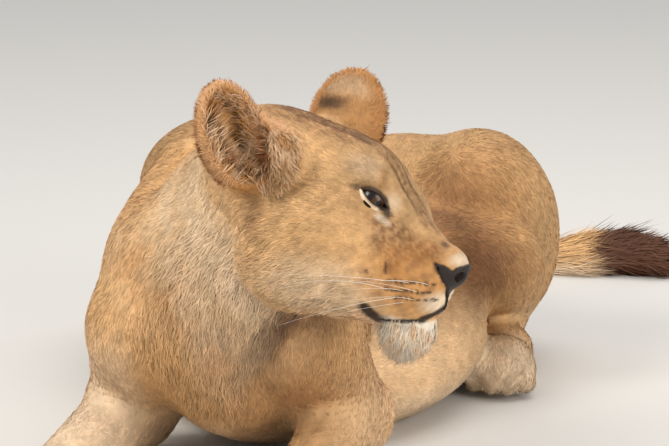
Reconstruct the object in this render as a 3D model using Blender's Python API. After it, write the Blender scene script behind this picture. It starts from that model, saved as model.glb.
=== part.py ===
"""A lioness lying on her breast, head turned to her left, as a still life-size museum model.

Metres, +Z up.  She faces -Y and her left side is +X.  The whole body is built as clay: named
round volumes (balls and tapered limbs) run into one another on a grid of sample points, the
surface where the clay ends is meshed, thinned to a few thousand faces, and parted by thin cuts
into the pieces a person would name.
"""
import bpy
import bmesh
import numpy as np
from math import cos, pi, radians, sin
from mathutils import Vector

for thing in list(bpy.data.objects):
    bpy.data.objects.remove(thing)

# ---------------------------------------------------------------- driving dimensions (metres)
GAP = 0.0003                 # clear gap left by every cut
BODY_STEP = 0.0070           # spacing of the sample points in the body
HEAD_STEP = 0.0042           # and in the head
BODY_FACES = 3300            # triangles kept in the body before it is parted
HEAD_FACES = 2100            # and in the head

CHEST_HALF = 0.150           # half-widths of the trunk
BELLY_HALF = 0.250
RUMP_HALF = 0.135
BACK_HEIGHT = 0.338          # height of the back over the loins
WITHERS_HEIGHT = 0.455       # tops of the shoulder blades
SHOULDER_OUT = 0.178         # half-width over the shoulders
THIGH_OUT = 0.317            # half-width over the thighs
THIGH_OUT_RIGHT = 0.290       # the same for her right thigh, held closer
PAW_HALF = 0.049             # half-width of a paw
TAIL_RADIUS = 0.0225
TUFT_RADIUS = 0.036
EYE_RADIUS = 0.0185

HEAD_PLACE = Vector((0.190, -0.050, 0.437))   # midpoint of the head, just behind the eyes
HEAD_YAW = radians(76.0)     # turned to her left from straight ahead
HEAD_PITCH = radians(10.0)   # nose down
HEAD_ROLL = radians(-4.0)    # left side down

ROOT = Vector((-0.0385, -0.6590, 0.0))   # carries the anatomy's frame to the middle of the footprint


# ---------------------------------------------------------------- the head's own axes
def head_axes():
    """Rows: forward to the nose, to the head's left, up; from yaw, pitch and roll in turn."""
    forward = np.array([np.sin(HEAD_YAW) * np.cos(HEAD_PITCH),
                        -np.cos(HEAD_YAW) * np.cos(HEAD_PITCH),
                        -np.sin(HEAD_PITCH)])
    level_left = np.array([np.cos(HEAD_YAW), np.sin(HEAD_YAW), 0.0])
    level_up = np.cross(forward, level_left)
    left = np.cos(HEAD_ROLL) * level_left + np.sin(HEAD_ROLL) * level_up
    return np.array([forward, left, np.cross(forward, left)])


WORLD = np.eye(3)
HEAD = head_axes()


def in_head(forward, left, up):
    """A place given along the head's own axes, in the body's frame."""
    return np.array(HEAD_PLACE) + np.array([forward, left, up]) @ HEAD


# ---------------------------------------------------------------- clay
def ball(centre, radii, axes=WORLD):
    """An ellipsoid: how far a point is outside it is the scaled radius less one, over its slope."""
    centre = np.asarray(centre, float)
    radii = np.asarray(radii, float)
    reach = np.sqrt((axes ** 2).T @ radii ** 2)

    def distance(points):
        q = (points - centre) @ axes.T / radii
        length = np.sqrt((q * q).sum(-1)) + 1e-9
        slope = np.sqrt(((q / radii) ** 2).sum(-1)) + 1e-9
        return length * (length - 1.0) / slope

    return centre - reach, centre + reach, distance


def limb(start, end, start_radius, end_radius, wide=1.0, side=(1.0, 0.0, 0.0)):
    """A round-ended taper from start to end; wide stretches its section along side."""
    start = np.asarray(start, float)
    end = np.asarray(end, float)
    side = np.asarray(side, float) / np.linalg.norm(side)
    along = end - start
    most = max(start_radius, end_radius) * max(wide, 1.0)

    def distance(points):
        q = points - start
        t = np.clip((q @ along) / (along @ along), 0.0, 1.0)
        off = q - t[..., None] * along
        off = off - (off @ side)[..., None] * (1.0 - 1.0 / wide) * side
        return np.sqrt((off * off).sum(-1)) - (start_radius + t * (end_radius - start_radius))

    return np.minimum(start, end) - most, np.maximum(start, end) + most, distance


class Clay:
    """A block of sample points, each holding how far it lies outside the clay so far."""

    def __init__(self, low, high, step):
        self.step = step
        self.axes = [np.arange(a, b + step, step) for a, b in zip(low, high)]
        self.outside = np.full([len(a) for a in self.axes], 1.0)

    def near(self, low, high, margin):
        """The part of the block around a shape, as slices and points."""
        parts = []
        for values, a, b in zip(self.axes, low, high):
            first = np.searchsorted(values, a - margin)
            last = np.searchsorted(values, b + margin)
            parts.append(slice(first, max(last, first + 1)))
        grid = np.meshgrid(*[v[p] for v, p in zip(self.axes, parts)], indexing="ij")
        return tuple(parts), np.stack(grid, -1)

    def add(self, shape, blend=0.03):
        """Press a shape on: the lesser distance, rounded where the two come within blend."""
        low, high, distance = shape
        part, points = self.near(low, high, blend + 2.0 * self.step)
        old = self.outside[part]
        new = distance(points)
        close = np.maximum(blend - np.abs(old - new), 0.0) / blend
        self.outside[part] = np.minimum(old, new) - close * close * blend * 0.25

    def carve(self, shape, blend=0.01):
        """Scoop a shape out, with the rim rounded over blend."""
        low, high, distance = shape
        part, points = self.near(low, high, blend + 2.0 * self.step)
        old = self.outside[part]
        new = -distance(points)
        close = np.maximum(blend - np.abs(old - new), 0.0) / blend
        self.outside[part] = np.maximum(old, new) + close * close * blend * 0.25

    def settle(self):
        """Fill in each spot where solid meets solid only across the diagonal of a grid square,
        so that the surface never touches itself along an edge."""
        lower, upper, whole = slice(0, -1), slice(1, None), slice(None)
        for _ in range(8):
            for axis in range(3):
                u, v = [a for a in range(3) if a != axis]
                corner = {}
                for name, on_u, on_v in (("a", lower, lower), ("b", upper, lower),
                                         ("c", lower, upper), ("d", upper, upper)):
                    part = [whole, whole, whole]
                    part[u] = on_u
                    part[v] = on_v
                    corner[name] = self.outside[tuple(part)]
                a, b, c, d = [corner[name] < 0.0 for name in "abcd"]
                doubtful = (a == d) & (b == c) & (a != b)
                corner["a"][doubtful & ~a] = -1e-4
                corner["b"][doubtful & ~b] = -1e-4

    def surface(self):
        """Points and four-cornered faces where the clay ends: one point in each cell that the
        surface crosses, at the mean of the crossings on the cell's edges."""
        self.settle()
        value = self.outside
        solid = value < 0.0
        cells = tuple(n - 1 for n in value.shape)
        total = np.zeros(cells + (3,))
        count = np.zeros(cells)
        lengths = [slice(0, n) for n in cells]
        for axis in range(3):
            others = [a for a in range(3) if a != axis]
            for i in (0, 1):
                for j in (0, 1):
                    shift = [0, 0, 0]
                    shift[others[0]] = i
                    shift[others[1]] = j
                    here = tuple(slice(s, s + n) for s, n in zip(shift, cells))
                    shift[axis] = 1
                    there = tuple(slice(s, s + n) for s, n in zip(shift, cells))
                    a = value[here]
                    b = value[there]
                    crosses = solid[here] != solid[there]
                    t = np.where(crosses, a / np.where(crosses, a - b, 1.0), 0.0)
                    count += crosses
                    total[..., axis] += t
                    total[..., others[0]] += i * crosses
                    total[..., others[1]] += j * crosses
        used = count > 0
        number = np.full(cells, -1)
        number[used] = np.arange(used.sum())
        corner = np.stack(np.nonzero(used), -1)
        first = np.array([a[0] for a in self.axes])
        points = first + self.step * (corner + total[used] / count[used][:, None])
        faces = []
        for axis in range(3):
            u, v = [a for a in ((axis + 1) % 3, (axis + 2) % 3)]
            inner = [slice(1, n) for n in cells]
            inner[axis] = slice(0, cells[axis])
            ahead = list(inner)
            ahead[axis] = slice(1, cells[axis] + 1)
            a = solid[tuple(inner)]
            b = solid[tuple(ahead)]
            place = np.nonzero(a != b)
            base = np.stack(place, -1)
            base[:, u] += 1
            base[:, v] += 1
            step_u = np.eye(3, dtype=int)[u]
            step_v = np.eye(3, dtype=int)[v]
            ring = [base - step_u - step_v, base - step_v, base, base - step_u]
            quad = np.stack([number[tuple(r.T)] for r in ring], -1)
            outward = a[place]
            faces.append(np.where(outward[:, None], quad, quad[:, ::-1]))
        return points, np.concatenate(faces)


# ---------------------------------------------------------------- the body in clay
def model_trunk(clay):
    """Rib cage, belly, loins and rump, with the spine's line over them."""
    clay.add(ball((0, 0.36, 0.190), (CHEST_HALF, 0.31, 0.180)))
    clay.add(ball((0, 0.120, 0.200), (0.100, 0.115, 0.125)), 0.05)
    clay.add(ball((0, 0.64, 0.150), (BELLY_HALF, 0.29, 0.165)), 0.05)
    clay.add(ball((0.006, 0.60, 0.085), (BELLY_HALF, 0.325, 0.115)), 0.05)
    clay.add(ball((0, 0.72, 0.225), (0.130, 0.34, BACK_HEIGHT - 0.225)), 0.04)
    clay.add(ball((0, 0.925, 0.190), (RUMP_HALF, 0.165, BACK_HEIGHT - 0.202)), 0.05)
    clay.add(limb((0, 0.30, 0.345), (0, 0.92, BACK_HEIGHT - 0.022), 0.028, 0.022, 1.3), 0.05)
    for side in (-1, 1):
        clay.add(ball((side * 0.090, 0.865, 0.300), (0.040, 0.075, 0.040)), 0.04)
        clay.add(ball((side * 0.075, 1.010, 0.180), (0.062, 0.060, 0.100)), 0.04)


def model_neck(clay):
    """From the withers forward and to her left up to the skull, with the loose throat below."""
    nape = in_head(-0.115, 0.0, 0.010)
    clay.add(limb((0, 0.22, 0.330), (0.045, 0.06, 0.385), 0.105, 0.110), 0.07)
    clay.add(limb((0.02, 0.09, 0.355), (-0.075, 0.078, 0.330), 0.085, 0.078), 0.05)
    clay.add(limb((0.045, 0.06, 0.385), nape, 0.110, 0.090), 0.05)
    clay.add(limb((0.045, 0.06, 0.310), in_head(-0.045, 0.0, -0.075), 0.100, 0.070), 0.05)
    clay.add(limb((0.020, 0.045, 0.245), (0.075, 0.005, 0.320), 0.068, 0.080), 0.05)
    clay.add(head_ball((-0.085, 0, 0.010), (0.072, 0.078, 0.076)), 0.04)


def model_foreleg(clay, side, elbow, wrist, toes):
    """Shoulder blade, upper arm, forearm laid on the floor, and the paw with four toes."""
    point = (side * 0.118, 0.070, 0.222)
    blade = (side * 0.092, 0.270, WITHERS_HEIGHT - 0.058)
    clay.add(limb(blade, point, 0.052, 0.068, 0.9), 0.06)
    clay.add(ball((side * 0.118, 0.19, 0.25), (SHOULDER_OUT - 0.118, 0.15, 0.15)), 0.05)
    clay.add(limb(point, elbow, 0.070, 0.060), 0.03)
    clay.add(ball((elbow[0], elbow[1] + 0.035, elbow[2] - 0.010), (0.038, 0.050, 0.052)), 0.03)
    clay.add(limb(elbow, wrist, 0.058, 0.041), 0.03)
    model_paw(clay, wrist, toes, 0.040)


def model_paw(clay, wrist, toes, depth):
    """A flat pad from the wrist or heel to four round toes, the middle two furthest forward."""
    wrist = np.array(wrist)
    toes = np.array(toes)
    ahead = toes - wrist
    ahead[2] = 0.0
    ahead /= np.linalg.norm(ahead)
    across = np.array([-ahead[1], ahead[0], 0.0])
    heel = toes - 0.085 * ahead
    clay.add(limb(wrist, heel, depth, depth, 1.15, across), 0.02)
    clay.add(limb(heel, toes - 0.030 * ahead, depth * 0.95, depth * 0.80, 1.25, across), 0.02)
    for place, reach in ((-1.5, -0.016), (-0.5, 0.0), (0.5, 0.0), (1.5, -0.016)):
        tip = toes + across * place * PAW_HALF * 0.49 + ahead * (reach - 0.018)
        tip[2] = depth * 0.62
        back = tip - ahead * 0.035
        back[2] = depth * 0.95
        clay.add(limb(back, tip, 0.017, 0.0175), 0.008)


def model_hind_leg(clay, side):
    """Thigh out and forward from the hip, shank folded back under it, foot flat on the floor."""
    hip = (side * 0.110, 0.900, 0.245)
    reach = THIGH_OUT if side > 0 else THIGH_OUT_RIGHT
    knee = (side * (reach - 0.047), 0.715, 0.192)
    hock = (side * 0.225, 0.950, 0.058)
    heel = (side * 0.255, 0.810, 0.040)
    clay.add(ball((side * 0.200, 0.865, 0.222), (reach - 0.200, 0.170, 0.137)), 0.04)
    if side < 0:
        clay.add(ball((-0.224, 0.895, 0.255), (0.092, 0.130, 0.090)), 0.03)
    clay.add(limb(hip, knee, 0.085, 0.050), 0.04)
    clay.add(ball((side * 0.238, 0.935, 0.175), (0.077, 0.105, 0.120)), 0.03)
    clay.add(limb(knee, hock, 0.048, 0.032), 0.03)
    clay.add(limb(hock, heel, 0.034, 0.034), 0.02)
    clay.add(ball((side * 0.225, 0.968, 0.046), (0.028, 0.034, 0.044)), 0.02)
    model_paw(clay, heel, (side * 0.280, 0.640, 0.040), 0.038)
    clay.add(limb((side * 0.20, 0.66, 0.215), knee, 0.050, 0.046), 0.04)


TAIL_PATH = [(0.000, 1.010, 0.270), (0.004, 1.082, 0.245), (0.010, 1.130, 0.182),
             (0.018, 1.168, 0.100), (0.028, 1.225, 0.038), (0.048, 1.310, 0.021),
             (0.085, 1.410, 0.020), (0.150, 1.495, 0.020), (0.225, 1.530, 0.021)]
TUFT_PATH = [(0.225, 1.530, 0.021), (0.290, 1.538, 0.030), (0.350, 1.532, 0.031),
             (0.400, 1.520, 0.022)]


def smooth_path(points, each=4):
    """A rounded line through the points: each stretch is a cubic whose slopes are the mean of
    the two next to it."""
    p = np.array(points, float)
    slope = np.gradient(p, axis=0)
    t = np.linspace(0.0, 1.0, each, endpoint=False)[:, None]
    out = []
    for a, b, m, n in zip(p[:-1], p[1:], slope[:-1], slope[1:]):
        out.append((2 * t ** 3 - 3 * t ** 2 + 1) * a + (t ** 3 - 2 * t ** 2 + t) * m
                   + (3 * t ** 2 - 2 * t ** 3) * b + (t ** 3 - t ** 2) * n)
    return np.concatenate(out + [p[-1:]])


def model_tail(clay):
    """Thick at the root, down behind her, along the floor and round to her left, then the tuft."""
    path = smooth_path(TAIL_PATH, 3)
    share = np.linspace(0.0, 1.0, len(path))
    radius = TAIL_RADIUS + 0.017 * np.clip(1.0 - 3.2 * share, 0.0, 1.0) ** 1.5
    for a, b, ra, rb in zip(path[:-1], path[1:], radius[:-1], radius[1:]):
        clay.add(limb(a, b, ra, rb), 0.012 if a[1] > 1.07 else 0.03)
    tuft = smooth_path(TUFT_PATH, 2)
    girth = [TAIL_RADIUS, 0.027, 0.033, TUFT_RADIUS, 0.032, 0.022, 0.009]
    for a, b, ra, rb in zip(tuft[:-1], tuft[1:], girth[:-1], girth[1:]):
        clay.add(limb(a, b, ra, rb), 0.012)


def body_clay():
    """The whole body, run on into the back of the skull, which is cut off later."""
    clay = Clay((-0.40, -0.33, -0.06), (0.46, 1.62, 0.60), BODY_STEP)
    model_trunk(clay)
    model_neck(clay)
    model_foreleg(clay, 1, (0.140, 0.235, 0.074), (0.138, -0.085, 0.042), (0.135, -0.255, 0.04))
    model_foreleg(clay, -1, (-0.165, 0.230, 0.074), (-0.202, -0.080, 0.042), (-0.210, -0.250, 0.04))
    clay.carve(limb((0.124, -0.074, 0.285), (0.034, -0.024, 0.160), 0.017, 0.021), 0.03)
    for side in (-1, 1):
        model_hind_leg(clay, side)
    model_tail(clay)
    return clay


# ---------------------------------------------------------------- the head in clay
def head_ball(place, radii, turn=0.0):
    """A ball on the head's axes, its length turned by an angle in the forward-up plane."""
    c, s = np.cos(turn), np.sin(turn)
    axes = np.array([[c, 0, s], [0, 1, 0], [-s, 0, c]]) @ HEAD
    return ball(in_head(*place), radii, axes)


def head_limb(start, end, start_radius, end_radius, wide=1.0):
    """A taper on the head's axes, widened from side to side."""
    return limb(in_head(*start), in_head(*end), start_radius, end_radius, wide, HEAD[1])


def model_skull(clay):
    """Cranium, forehead, cheek arches, chewing muscles and the jaw with its fringe of hair."""
    clay.add(head_ball((-0.060, 0, 0.022), (0.092, 0.082, 0.076)), 0.02)
    clay.add(head_ball((0.012, 0, 0.034), (0.069, 0.056, 0.057)), 0.04)
    clay.add(head_ball((0.000, 0, -0.070), (0.090, 0.070, 0.060)), 0.04)
    for side in (-1, 1):
        clay.add(head_ball((0.000, side * 0.066, -0.022), (0.085, 0.046, 0.056)), 0.03)
        clay.add(head_ball((-0.030, side * 0.060, -0.078), (0.070, 0.042, 0.062)), 0.03)
        clay.add(head_ball((0.062, side * 0.040, -0.034), (0.064, 0.036, 0.048)), 0.03)
        clay.add(head_ball((0.044, side * 0.037, 0.040), (0.031, 0.025, 0.021)), 0.02)
        clay.add(head_limb((-0.02, side * 0.050, -0.108), (0.10, side * 0.026, -0.112),
                           0.034, 0.026), 0.03)


def model_muzzle(clay):
    """Bridge of the nose, whisker pads, nose and chin."""
    clay.add(head_limb((0.036, 0, 0.036), (0.152, 0, -0.042), 0.034, 0.024, 1.15), 0.03)
    clay.add(head_ball((0.100, 0, -0.056), (0.070, 0.050, 0.046)), 0.03)
    clay.add(head_ball((0.171, 0, -0.045), (0.025, 0.029, 0.024)), 0.02)
    clay.add(head_ball((0.104, 0, -0.128), (0.050, 0.043, 0.015)), 0.008)
    clay.add(head_ball((0.130, 0, -0.130), (0.036, 0.034, 0.026)), 0.010)
    clay.add(head_ball((0.126, 0, -0.137), (0.032, 0.028, 0.018)), 0.02)
    for side in (-1, 1):
        clay.add(head_ball((0.078, side * 0.028, 0.010), (0.034, 0.024, 0.026)), 0.02)
        clay.add(head_ball((0.050, side * 0.046, -0.072), (0.058, 0.034, 0.044)), 0.03)
        clay.add(head_ball((0.090, side * 0.034, -0.080), (0.050, 0.030, 0.044)), 0.03)
        clay.add(head_ball((0.132, side * 0.022, -0.079), (0.041, 0.033, 0.040)), 0.015)
    clay.add(head_ball((0.149, 0, -0.094), (0.027, 0.024, 0.025)), 0.010)


def model_orbit(clay, side):
    """The hollow in front of the brow where the eye lies open."""
    clay.carve(head_ball((0.078, side * 0.079, 0.020), (0.025, 0.020, 0.015), radians(-30.0)), 0.014)


# half the height and width of her left ear, and of her right ear, laid back and narrower
EAR_SIZE = (0.068, 0.054)
EAR_SIZE_RIGHT = (0.075, 0.048)
# each ear's root, middle, the way its tip points and the way it opens, on the head's axes
EARS = {
    "right": ((-0.074, -0.072, 0.050), (-0.123, -0.110, 0.068), (-0.45, -0.18, 0.87), (0.86, -0.50, 0.00)),
    "left": ((-0.066, 0.074, 0.056), (-0.060, 0.110, 0.084), (-0.12, 0.28, 0.94), (0.05, 0.95, -0.20)),
}


def model_ear(clay, base, centre, tip_way, open_way):
    """A round cup: a flat oval shell, hollowed from its open side, on a short broad root."""
    tall = np.array(tip_way) / np.linalg.norm(tip_way)
    out = np.array(open_way) - tall * (np.array(open_way) @ tall)
    out /= np.linalg.norm(out)
    wide = np.cross(tall, out)
    axes = np.array([tall, wide, out]) @ HEAD
    place = in_head(*centre)
    tall, wide = EAR_SIZE if centre[1] > 0 else EAR_SIZE_RIGHT
    clay.add(ball(place, (tall, wide, 0.026), axes), 0.012)
    clay.add(limb(in_head(*base), place - axes[0] * 0.012, 0.040, 0.034), 0.02)
    hollow = place + axes[2] * 0.023 + axes[0] * 0.003
    clay.carve(ball(hollow, (tall - 0.010, wide - 0.009, 0.028), axes), 0.008)


def head_clay():
    """Head and ears, running back into the neck, which is cut off later."""
    clay = Clay((-0.12, -0.34, 0.20), (0.42, 0.22, 0.66), HEAD_STEP)
    model_neck(clay)
    model_skull(clay)
    model_muzzle(clay)
    for side in (-1, 1):
        model_orbit(clay, side)
    for base, centre, tip_way, open_way in EARS.values():
        model_ear(clay, base, centre, tip_way, open_way)
    return clay


# ---------------------------------------------------------------- meshes and thin cuts
def material(name, colour, roughness):
    """A plain finish of one colour."""
    made = bpy.data.materials.new(name)
    made.use_nodes = True
    shader = made.node_tree.nodes["Principled BSDF"]
    shader.inputs["Base Color"].default_value = (*colour, 1.0)
    shader.inputs["Roughness"].default_value = roughness
    shader.inputs["Metallic"].default_value = 0.0
    return made


def link(name, mesh):
    """A new object holding the mesh."""
    made = bpy.data.objects.new(name, mesh)
    bpy.context.scene.collection.objects.link(made)
    return made


def evaluated(thing):
    """The object's mesh with its modifiers done."""
    bpy.context.view_layer.update()
    graph = bpy.context.evaluated_depsgraph_get()
    return bpy.data.meshes.new_from_object(thing.evaluated_get(graph))


def discard(thing):
    """Remove an object that was only a step on the way."""
    bpy.data.objects.remove(thing)


def mesh_of(clay, faces_kept):
    """The clay's surface as a mesh of about so many triangles, moved to the footprint's middle."""
    points, faces = clay.surface()
    mesh = bpy.data.meshes.new("clay")
    mesh.from_pydata((points + np.array(ROOT)).tolist(), [], faces.tolist())
    rough = link("clay", mesh)
    thin = rough.modifiers.new("thin", "DECIMATE")
    thin.ratio = faces_kept / (2.0 * len(faces))
    thin.use_collapse_triangulate = True
    done = evaluated(rough)
    discard(rough)
    return done


def prism(outline, along):
    """A closed bar: the outline's points carried along a straight way."""
    count = len(outline)
    points = [Vector(p) for p in outline] + [Vector(p) + Vector(along) for p in outline]
    faces = [list(range(count)), list(range(count, 2 * count))]
    for i in range(count):
        j = (i + 1) % count
        faces.append([i, j, count + j, count + i])
    mesh = bpy.data.meshes.new("bar")
    mesh.from_pydata(points, [], faces)
    shape = bmesh.new()
    shape.from_mesh(mesh)
    bmesh.ops.recalc_face_normals(shape, faces=shape.faces)
    bmesh.ops.triangulate(shape, faces=shape.faces)
    shape.to_mesh(mesh)
    shape.free()
    return mesh


def sheet(path, along, thickness=GAP):
    """A sheet as thick as a cut, standing on a path of points and carried along a way."""
    path = [Vector(p) + Vector(ROOT) for p in path]
    along = Vector(along)
    near = []
    far = []
    for i, point in enumerate(path):
        before = (point - path[i - 1]).normalized() if i > 0 else None
        after = (path[i + 1] - point).normalized() if i + 1 < len(path) else None
        first = along.cross(before).normalized() if before else along.cross(after).normalized()
        last = along.cross(after).normalized() if after else first
        across = (first + last).normalized()
        across *= 0.5 * thickness / max(across.dot(first), 0.5)
        near.append(point - across)
        far.append(point + across)
    return prism(near + far[::-1], along)


def boolean(mesh, cutter, operation):
    """One mesh joined with, cut by or kept within another."""
    base = link("base", mesh)
    tool = link("tool", cutter)
    step = base.modifiers.new("cut", "BOOLEAN")
    step.operation = operation
    step.solver = "EXACT"
    step.object = tool
    done = evaluated(base)
    discard(base)
    discard(tool)
    return done


def loose_parts(mesh):
    """The separate closed bodies in a mesh, crumbs left out."""
    whole = bmesh.new()
    whole.from_mesh(mesh)
    bmesh.ops.remove_doubles(whole, verts=whole.verts, dist=1e-6)
    unseen = set(whole.verts)
    groups = []
    while unseen:
        front = [unseen.pop()]
        group = set(front)
        while front:
            for edge in front.pop().link_edges:
                for vert in edge.verts:
                    if vert in unseen:
                        unseen.discard(vert)
                        group.add(vert)
                        front.append(vert)
        groups.append(group)
    parts = []
    for group in groups:
        piece = bmesh.new()
        copied = {v: piece.verts.new(v.co) for v in sorted(group, key=lambda v: v.index)}
        for face in whole.faces:
            corners = [copied[v] for v in face.verts if v in copied]
            if len(corners) > 2 and piece.faces.get(corners) is None:
                piece.faces.new(corners)
        if abs(piece.calc_volume()) > 1e-7:
            made = bpy.data.meshes.new("part")
            piece.to_mesh(made)
            parts.append(made)
        piece.free()
    whole.free()
    return parts


def nearest(parts, place):
    """The part whose surface comes nearest a place."""
    place = Vector(place) + Vector(ROOT)
    return min(parts, key=lambda m: min((v.co - place).length for v in m.vertices))


def part_by(mesh, cut, first, second):
    """Divide a mesh by a thin sheet and return the pieces nearest two places."""
    parts = loose_parts(boolean(mesh, cut, "DIFFERENCE"))
    a = nearest(parts, first)
    b = nearest(parts, second)
    if a is b:
        raise ValueError("a cut left its mesh in one piece")
    return a, b


COAT = material("coat_tawny", (0.60, 0.38, 0.19), 0.85)
CREAM = material("coat_cream", (0.74, 0.60, 0.42), 0.85)
RUFOUS = material("ear_rufous", (0.52, 0.28, 0.11), 0.85)
BROWN = material("tuft_brown", (0.09, 0.045, 0.025), 0.85)
DARK = material("nose_leather", (0.030, 0.020, 0.017), 0.45)
EYE = material("eye_dark_amber", (0.16, 0.085, 0.03), 0.10)


def finish(name, mesh, finish_material):
    """Name a piece, give it its finish and shade it smooth with its cut edges sharp."""
    piece = link(name, mesh)
    mesh.materials.clear()
    mesh.materials.append(finish_material)
    mesh.shade_smooth()
    mesh.set_sharp_from_angle(angle=radians(50.0))
    return piece


# ---------------------------------------------------------------- parting the body and the head
def on_head(forward, left, up):
    """A place on the head's axes as a point that a sheet's path can take."""
    return tuple(in_head(forward, left, up))


def head_way(forward, left, up):
    """A way along the head's axes."""
    return tuple(np.array([forward, left, up]) @ HEAD)


def half_space(place, outward):
    """A great box whose one face stands at a place, the rest of it lying along a way."""
    way = Vector(outward).normalized()
    size = 5.0
    made = bmesh.new()
    bmesh.ops.create_cube(made, size=size)
    turn = way.to_track_quat("Z", "Y")
    for vert in made.verts:
        vert.co = Vector(place) + Vector(ROOT) + turn @ (vert.co + Vector((0, 0, 0.5 * size)))
    mesh = bpy.data.meshes.new("half space")
    made.to_mesh(mesh)
    made.free()
    return mesh


def disc(place, way, wide, tall, thickness=GAP):
    """A thin oval sheet square to a way, its height in the way's own upright plane."""
    way = Vector(way).normalized()
    across = way.cross(Vector((0, 0, 1))).normalized()
    over = across.cross(way)
    middle = Vector(place) + Vector(ROOT) - 0.5 * thickness * way
    turns = [2.0 * pi * step / DISC_SIDES for step in range(DISC_SIDES)]
    outline = [middle + across * (wide * cos(t)) + over * (tall * sin(t)) for t in turns]
    return prism(outline, thickness * way)


DISC_SIDES = 24
NECK_CUT = on_head(-0.112, 0.0, -0.030)       # where the head comes off the neck
NECK_WAY = head_way(0.68, -0.50, 0.58)


def body_whole():
    """The body without the head, cut level with the floor and square at the neck."""
    mesh = mesh_of(body_clay(), BODY_FACES)
    mesh = boolean(mesh, half_space((0, 0, 0), (0, 0, -1)), "DIFFERENCE")
    mesh = boolean(mesh, disc(NECK_CUT, NECK_WAY, 0.145, 0.185), "DIFFERENCE")
    return nearest(loose_parts(mesh), (0, 0.6, 0.3))


def head_whole():
    """The head without the neck."""
    mesh = mesh_of(head_clay(), HEAD_FACES)
    forward_on = Vector(NECK_CUT) + Vector(NECK_WAY).normalized() * 0.5 * GAP
    mesh = boolean(mesh, half_space(forward_on, -Vector(NECK_WAY)), "DIFFERENCE")
    return nearest(loose_parts(mesh), on_head(0.17, 0, -0.03))


def part_body():
    """Thin cuts through the body, each between two named pieces."""
    rest = body_whole()
    pieces = {}
    rest, pieces["neck"] = part_by(
        rest, sheet([(-0.4, 0.22, 0.56), (-0.4, 0.13, 0.40), (-0.4, -0.10, 0.14)], (0.8, 0, 0)),
        (0, 0.5, 0.37), (0.05, 0.0, 0.44))
    for side, word in ((1, "left"), (-1, "right")):
        inner = [(side * 0.020, -0.40, -0.02), (side * 0.052, -0.05, -0.02),
                 (side * 0.092, 0.06, -0.02), (side * 0.098, 0.355, -0.02),
                 (side * 0.36, 0.39, -0.02)]
        lean = (-side * 0.045, 0, 0.55)
        rest, leg = part_by(rest, sheet(inner, lean), (0, 0.6, 0.34), (side * 0.17, 0.2, 0.2))
        across = (side * 0.5, 0, 0)
        wrist = [(0, -0.095, -0.02), (0, -0.095, 0.12)]
        leg, pieces["forepaw_" + word] = part_by(
            leg, sheet(wrist, across), (side * 0.17, 0.2, 0.2), (side * 0.15, -0.24, 0.04))
        elbow = [(0, -0.09, 0.16), (0, 0.10, 0.125), (0, 0.22, 0.085), (0, 0.42, 0.03)]
        pieces["upper_arm_" + word], pieces["forearm_" + word] = part_by(
            leg, sheet(elbow, across), (side * 0.14, 0.2, 0.30), (side * 0.16, 0.0, 0.0))
    for side, word in ((1, "left"), (-1, "right")):
        inner = [(side * 0.070, 1.22, -0.02), (side * 0.088, 0.95, -0.02),
                 (side * 0.118, 0.80, -0.02), (side * 0.205, 0.715, -0.02),
                 (side * 0.238, 0.665, -0.02), (side * 0.254, 0.60, -0.02),
                 (side * 0.40, 0.55, -0.02)]
        rest, leg = part_by(rest, sheet(inner, (0, 0, 0.5)), (0, 0.6, 0.3), (side * 0.28, 0.85, 0.3))
        across = (side * 0.5, 0, 0)
        ankle = [(0, 0.50, 0.098), (0, 0.80, 0.085), (0, 0.92, 0.062), (0, 0.975, -0.02)]
        leg, pieces["hind_foot_" + word] = part_by(
            leg, sheet(ankle, across), (side * 0.25, 0.85, 0.3), (side * 0.28, 0.65, 0.02))
        knee = [(0, 0.50, 0.155), (0, 0.75, 0.150), (0, 0.90, 0.120), (0, 1.20, 0.100)]
        pieces["thigh_" + word], pieces["shank_" + word] = part_by(
            leg, sheet(knee, across), (side * 0.22, 0.85, 0.34), (side * 0.23, 0.98, 0.03))
    tail_cuts = [([(-0.2, 1.05, 0.45), (-0.2, 1.10, 0.20), (-0.2, 1.13, 0.05)], (0.4, 0, 0), (0.02, 1.22, 0.08)),
                 ([(-0.2, 1.05, 0.125), (-0.2, 1.30, 0.125)], (0.5, 0, 0), (0.028, 1.26, 0.03)),
                 ([(-0.2, 1.395, -0.02), (-0.2, 1.395, 0.10)], (0.5, 0, 0), (0.20, 1.53, 0.02)),
                 ([(0.235, 1.42, -0.02), (0.235, 1.42, 0.12)], (0, 0.3, 0), (0.40, 1.52, 0.02))]
    names = ["tail_root", "tail_upper", "tail_lower", "tail_tuft"]
    rest, tail = part_by(rest, sheet(tail_cuts[0][0], tail_cuts[0][1]), (0, 0.6, 0.3),
                         tail_cuts[0][2])
    kept = (0.005, 1.10, 0.27)
    for name, (path, along, beyond) in zip(names, tail_cuts[1:]):
        pieces[name], tail = part_by(tail, sheet(path, along), kept, beyond)
        kept = beyond
    pieces[names[-1]] = tail
    rest, pieces["chest"] = part_by(
        rest, sheet([(-0.4, 0.48, -0.02), (-0.4, 0.44, 0.5)], (0.8, 0, 0)),
        (0, 0.95, 0.3), (0, 0.2, 0.3))
    pieces["rump"], pieces["belly"] = part_by(
        rest, sheet([(-0.4, 0.86, -0.02), (-0.4, 0.76, 0.5)], (0.8, 0, 0)),
        (0, 1.0, 0.2), (0, 0.6, 0.0))
    return pieces


def eye_place(side):
    """The middle of an eye."""
    return on_head(0.063, side * 0.045, 0.0265)


def eye_ball(side, radius):
    """A round body at an eye's place."""
    made = bmesh.new()
    bmesh.ops.create_icosphere(made, subdivisions=2, radius=radius)
    bmesh.ops.translate(made, verts=made.verts, vec=Vector(eye_place(side)) + Vector(ROOT))
    mesh = bpy.data.meshes.new("eye")
    made.to_mesh(mesh)
    made.free()
    return mesh


EAR_CUT = 0.060              # half the side of the square cut that takes an ear off


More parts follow.
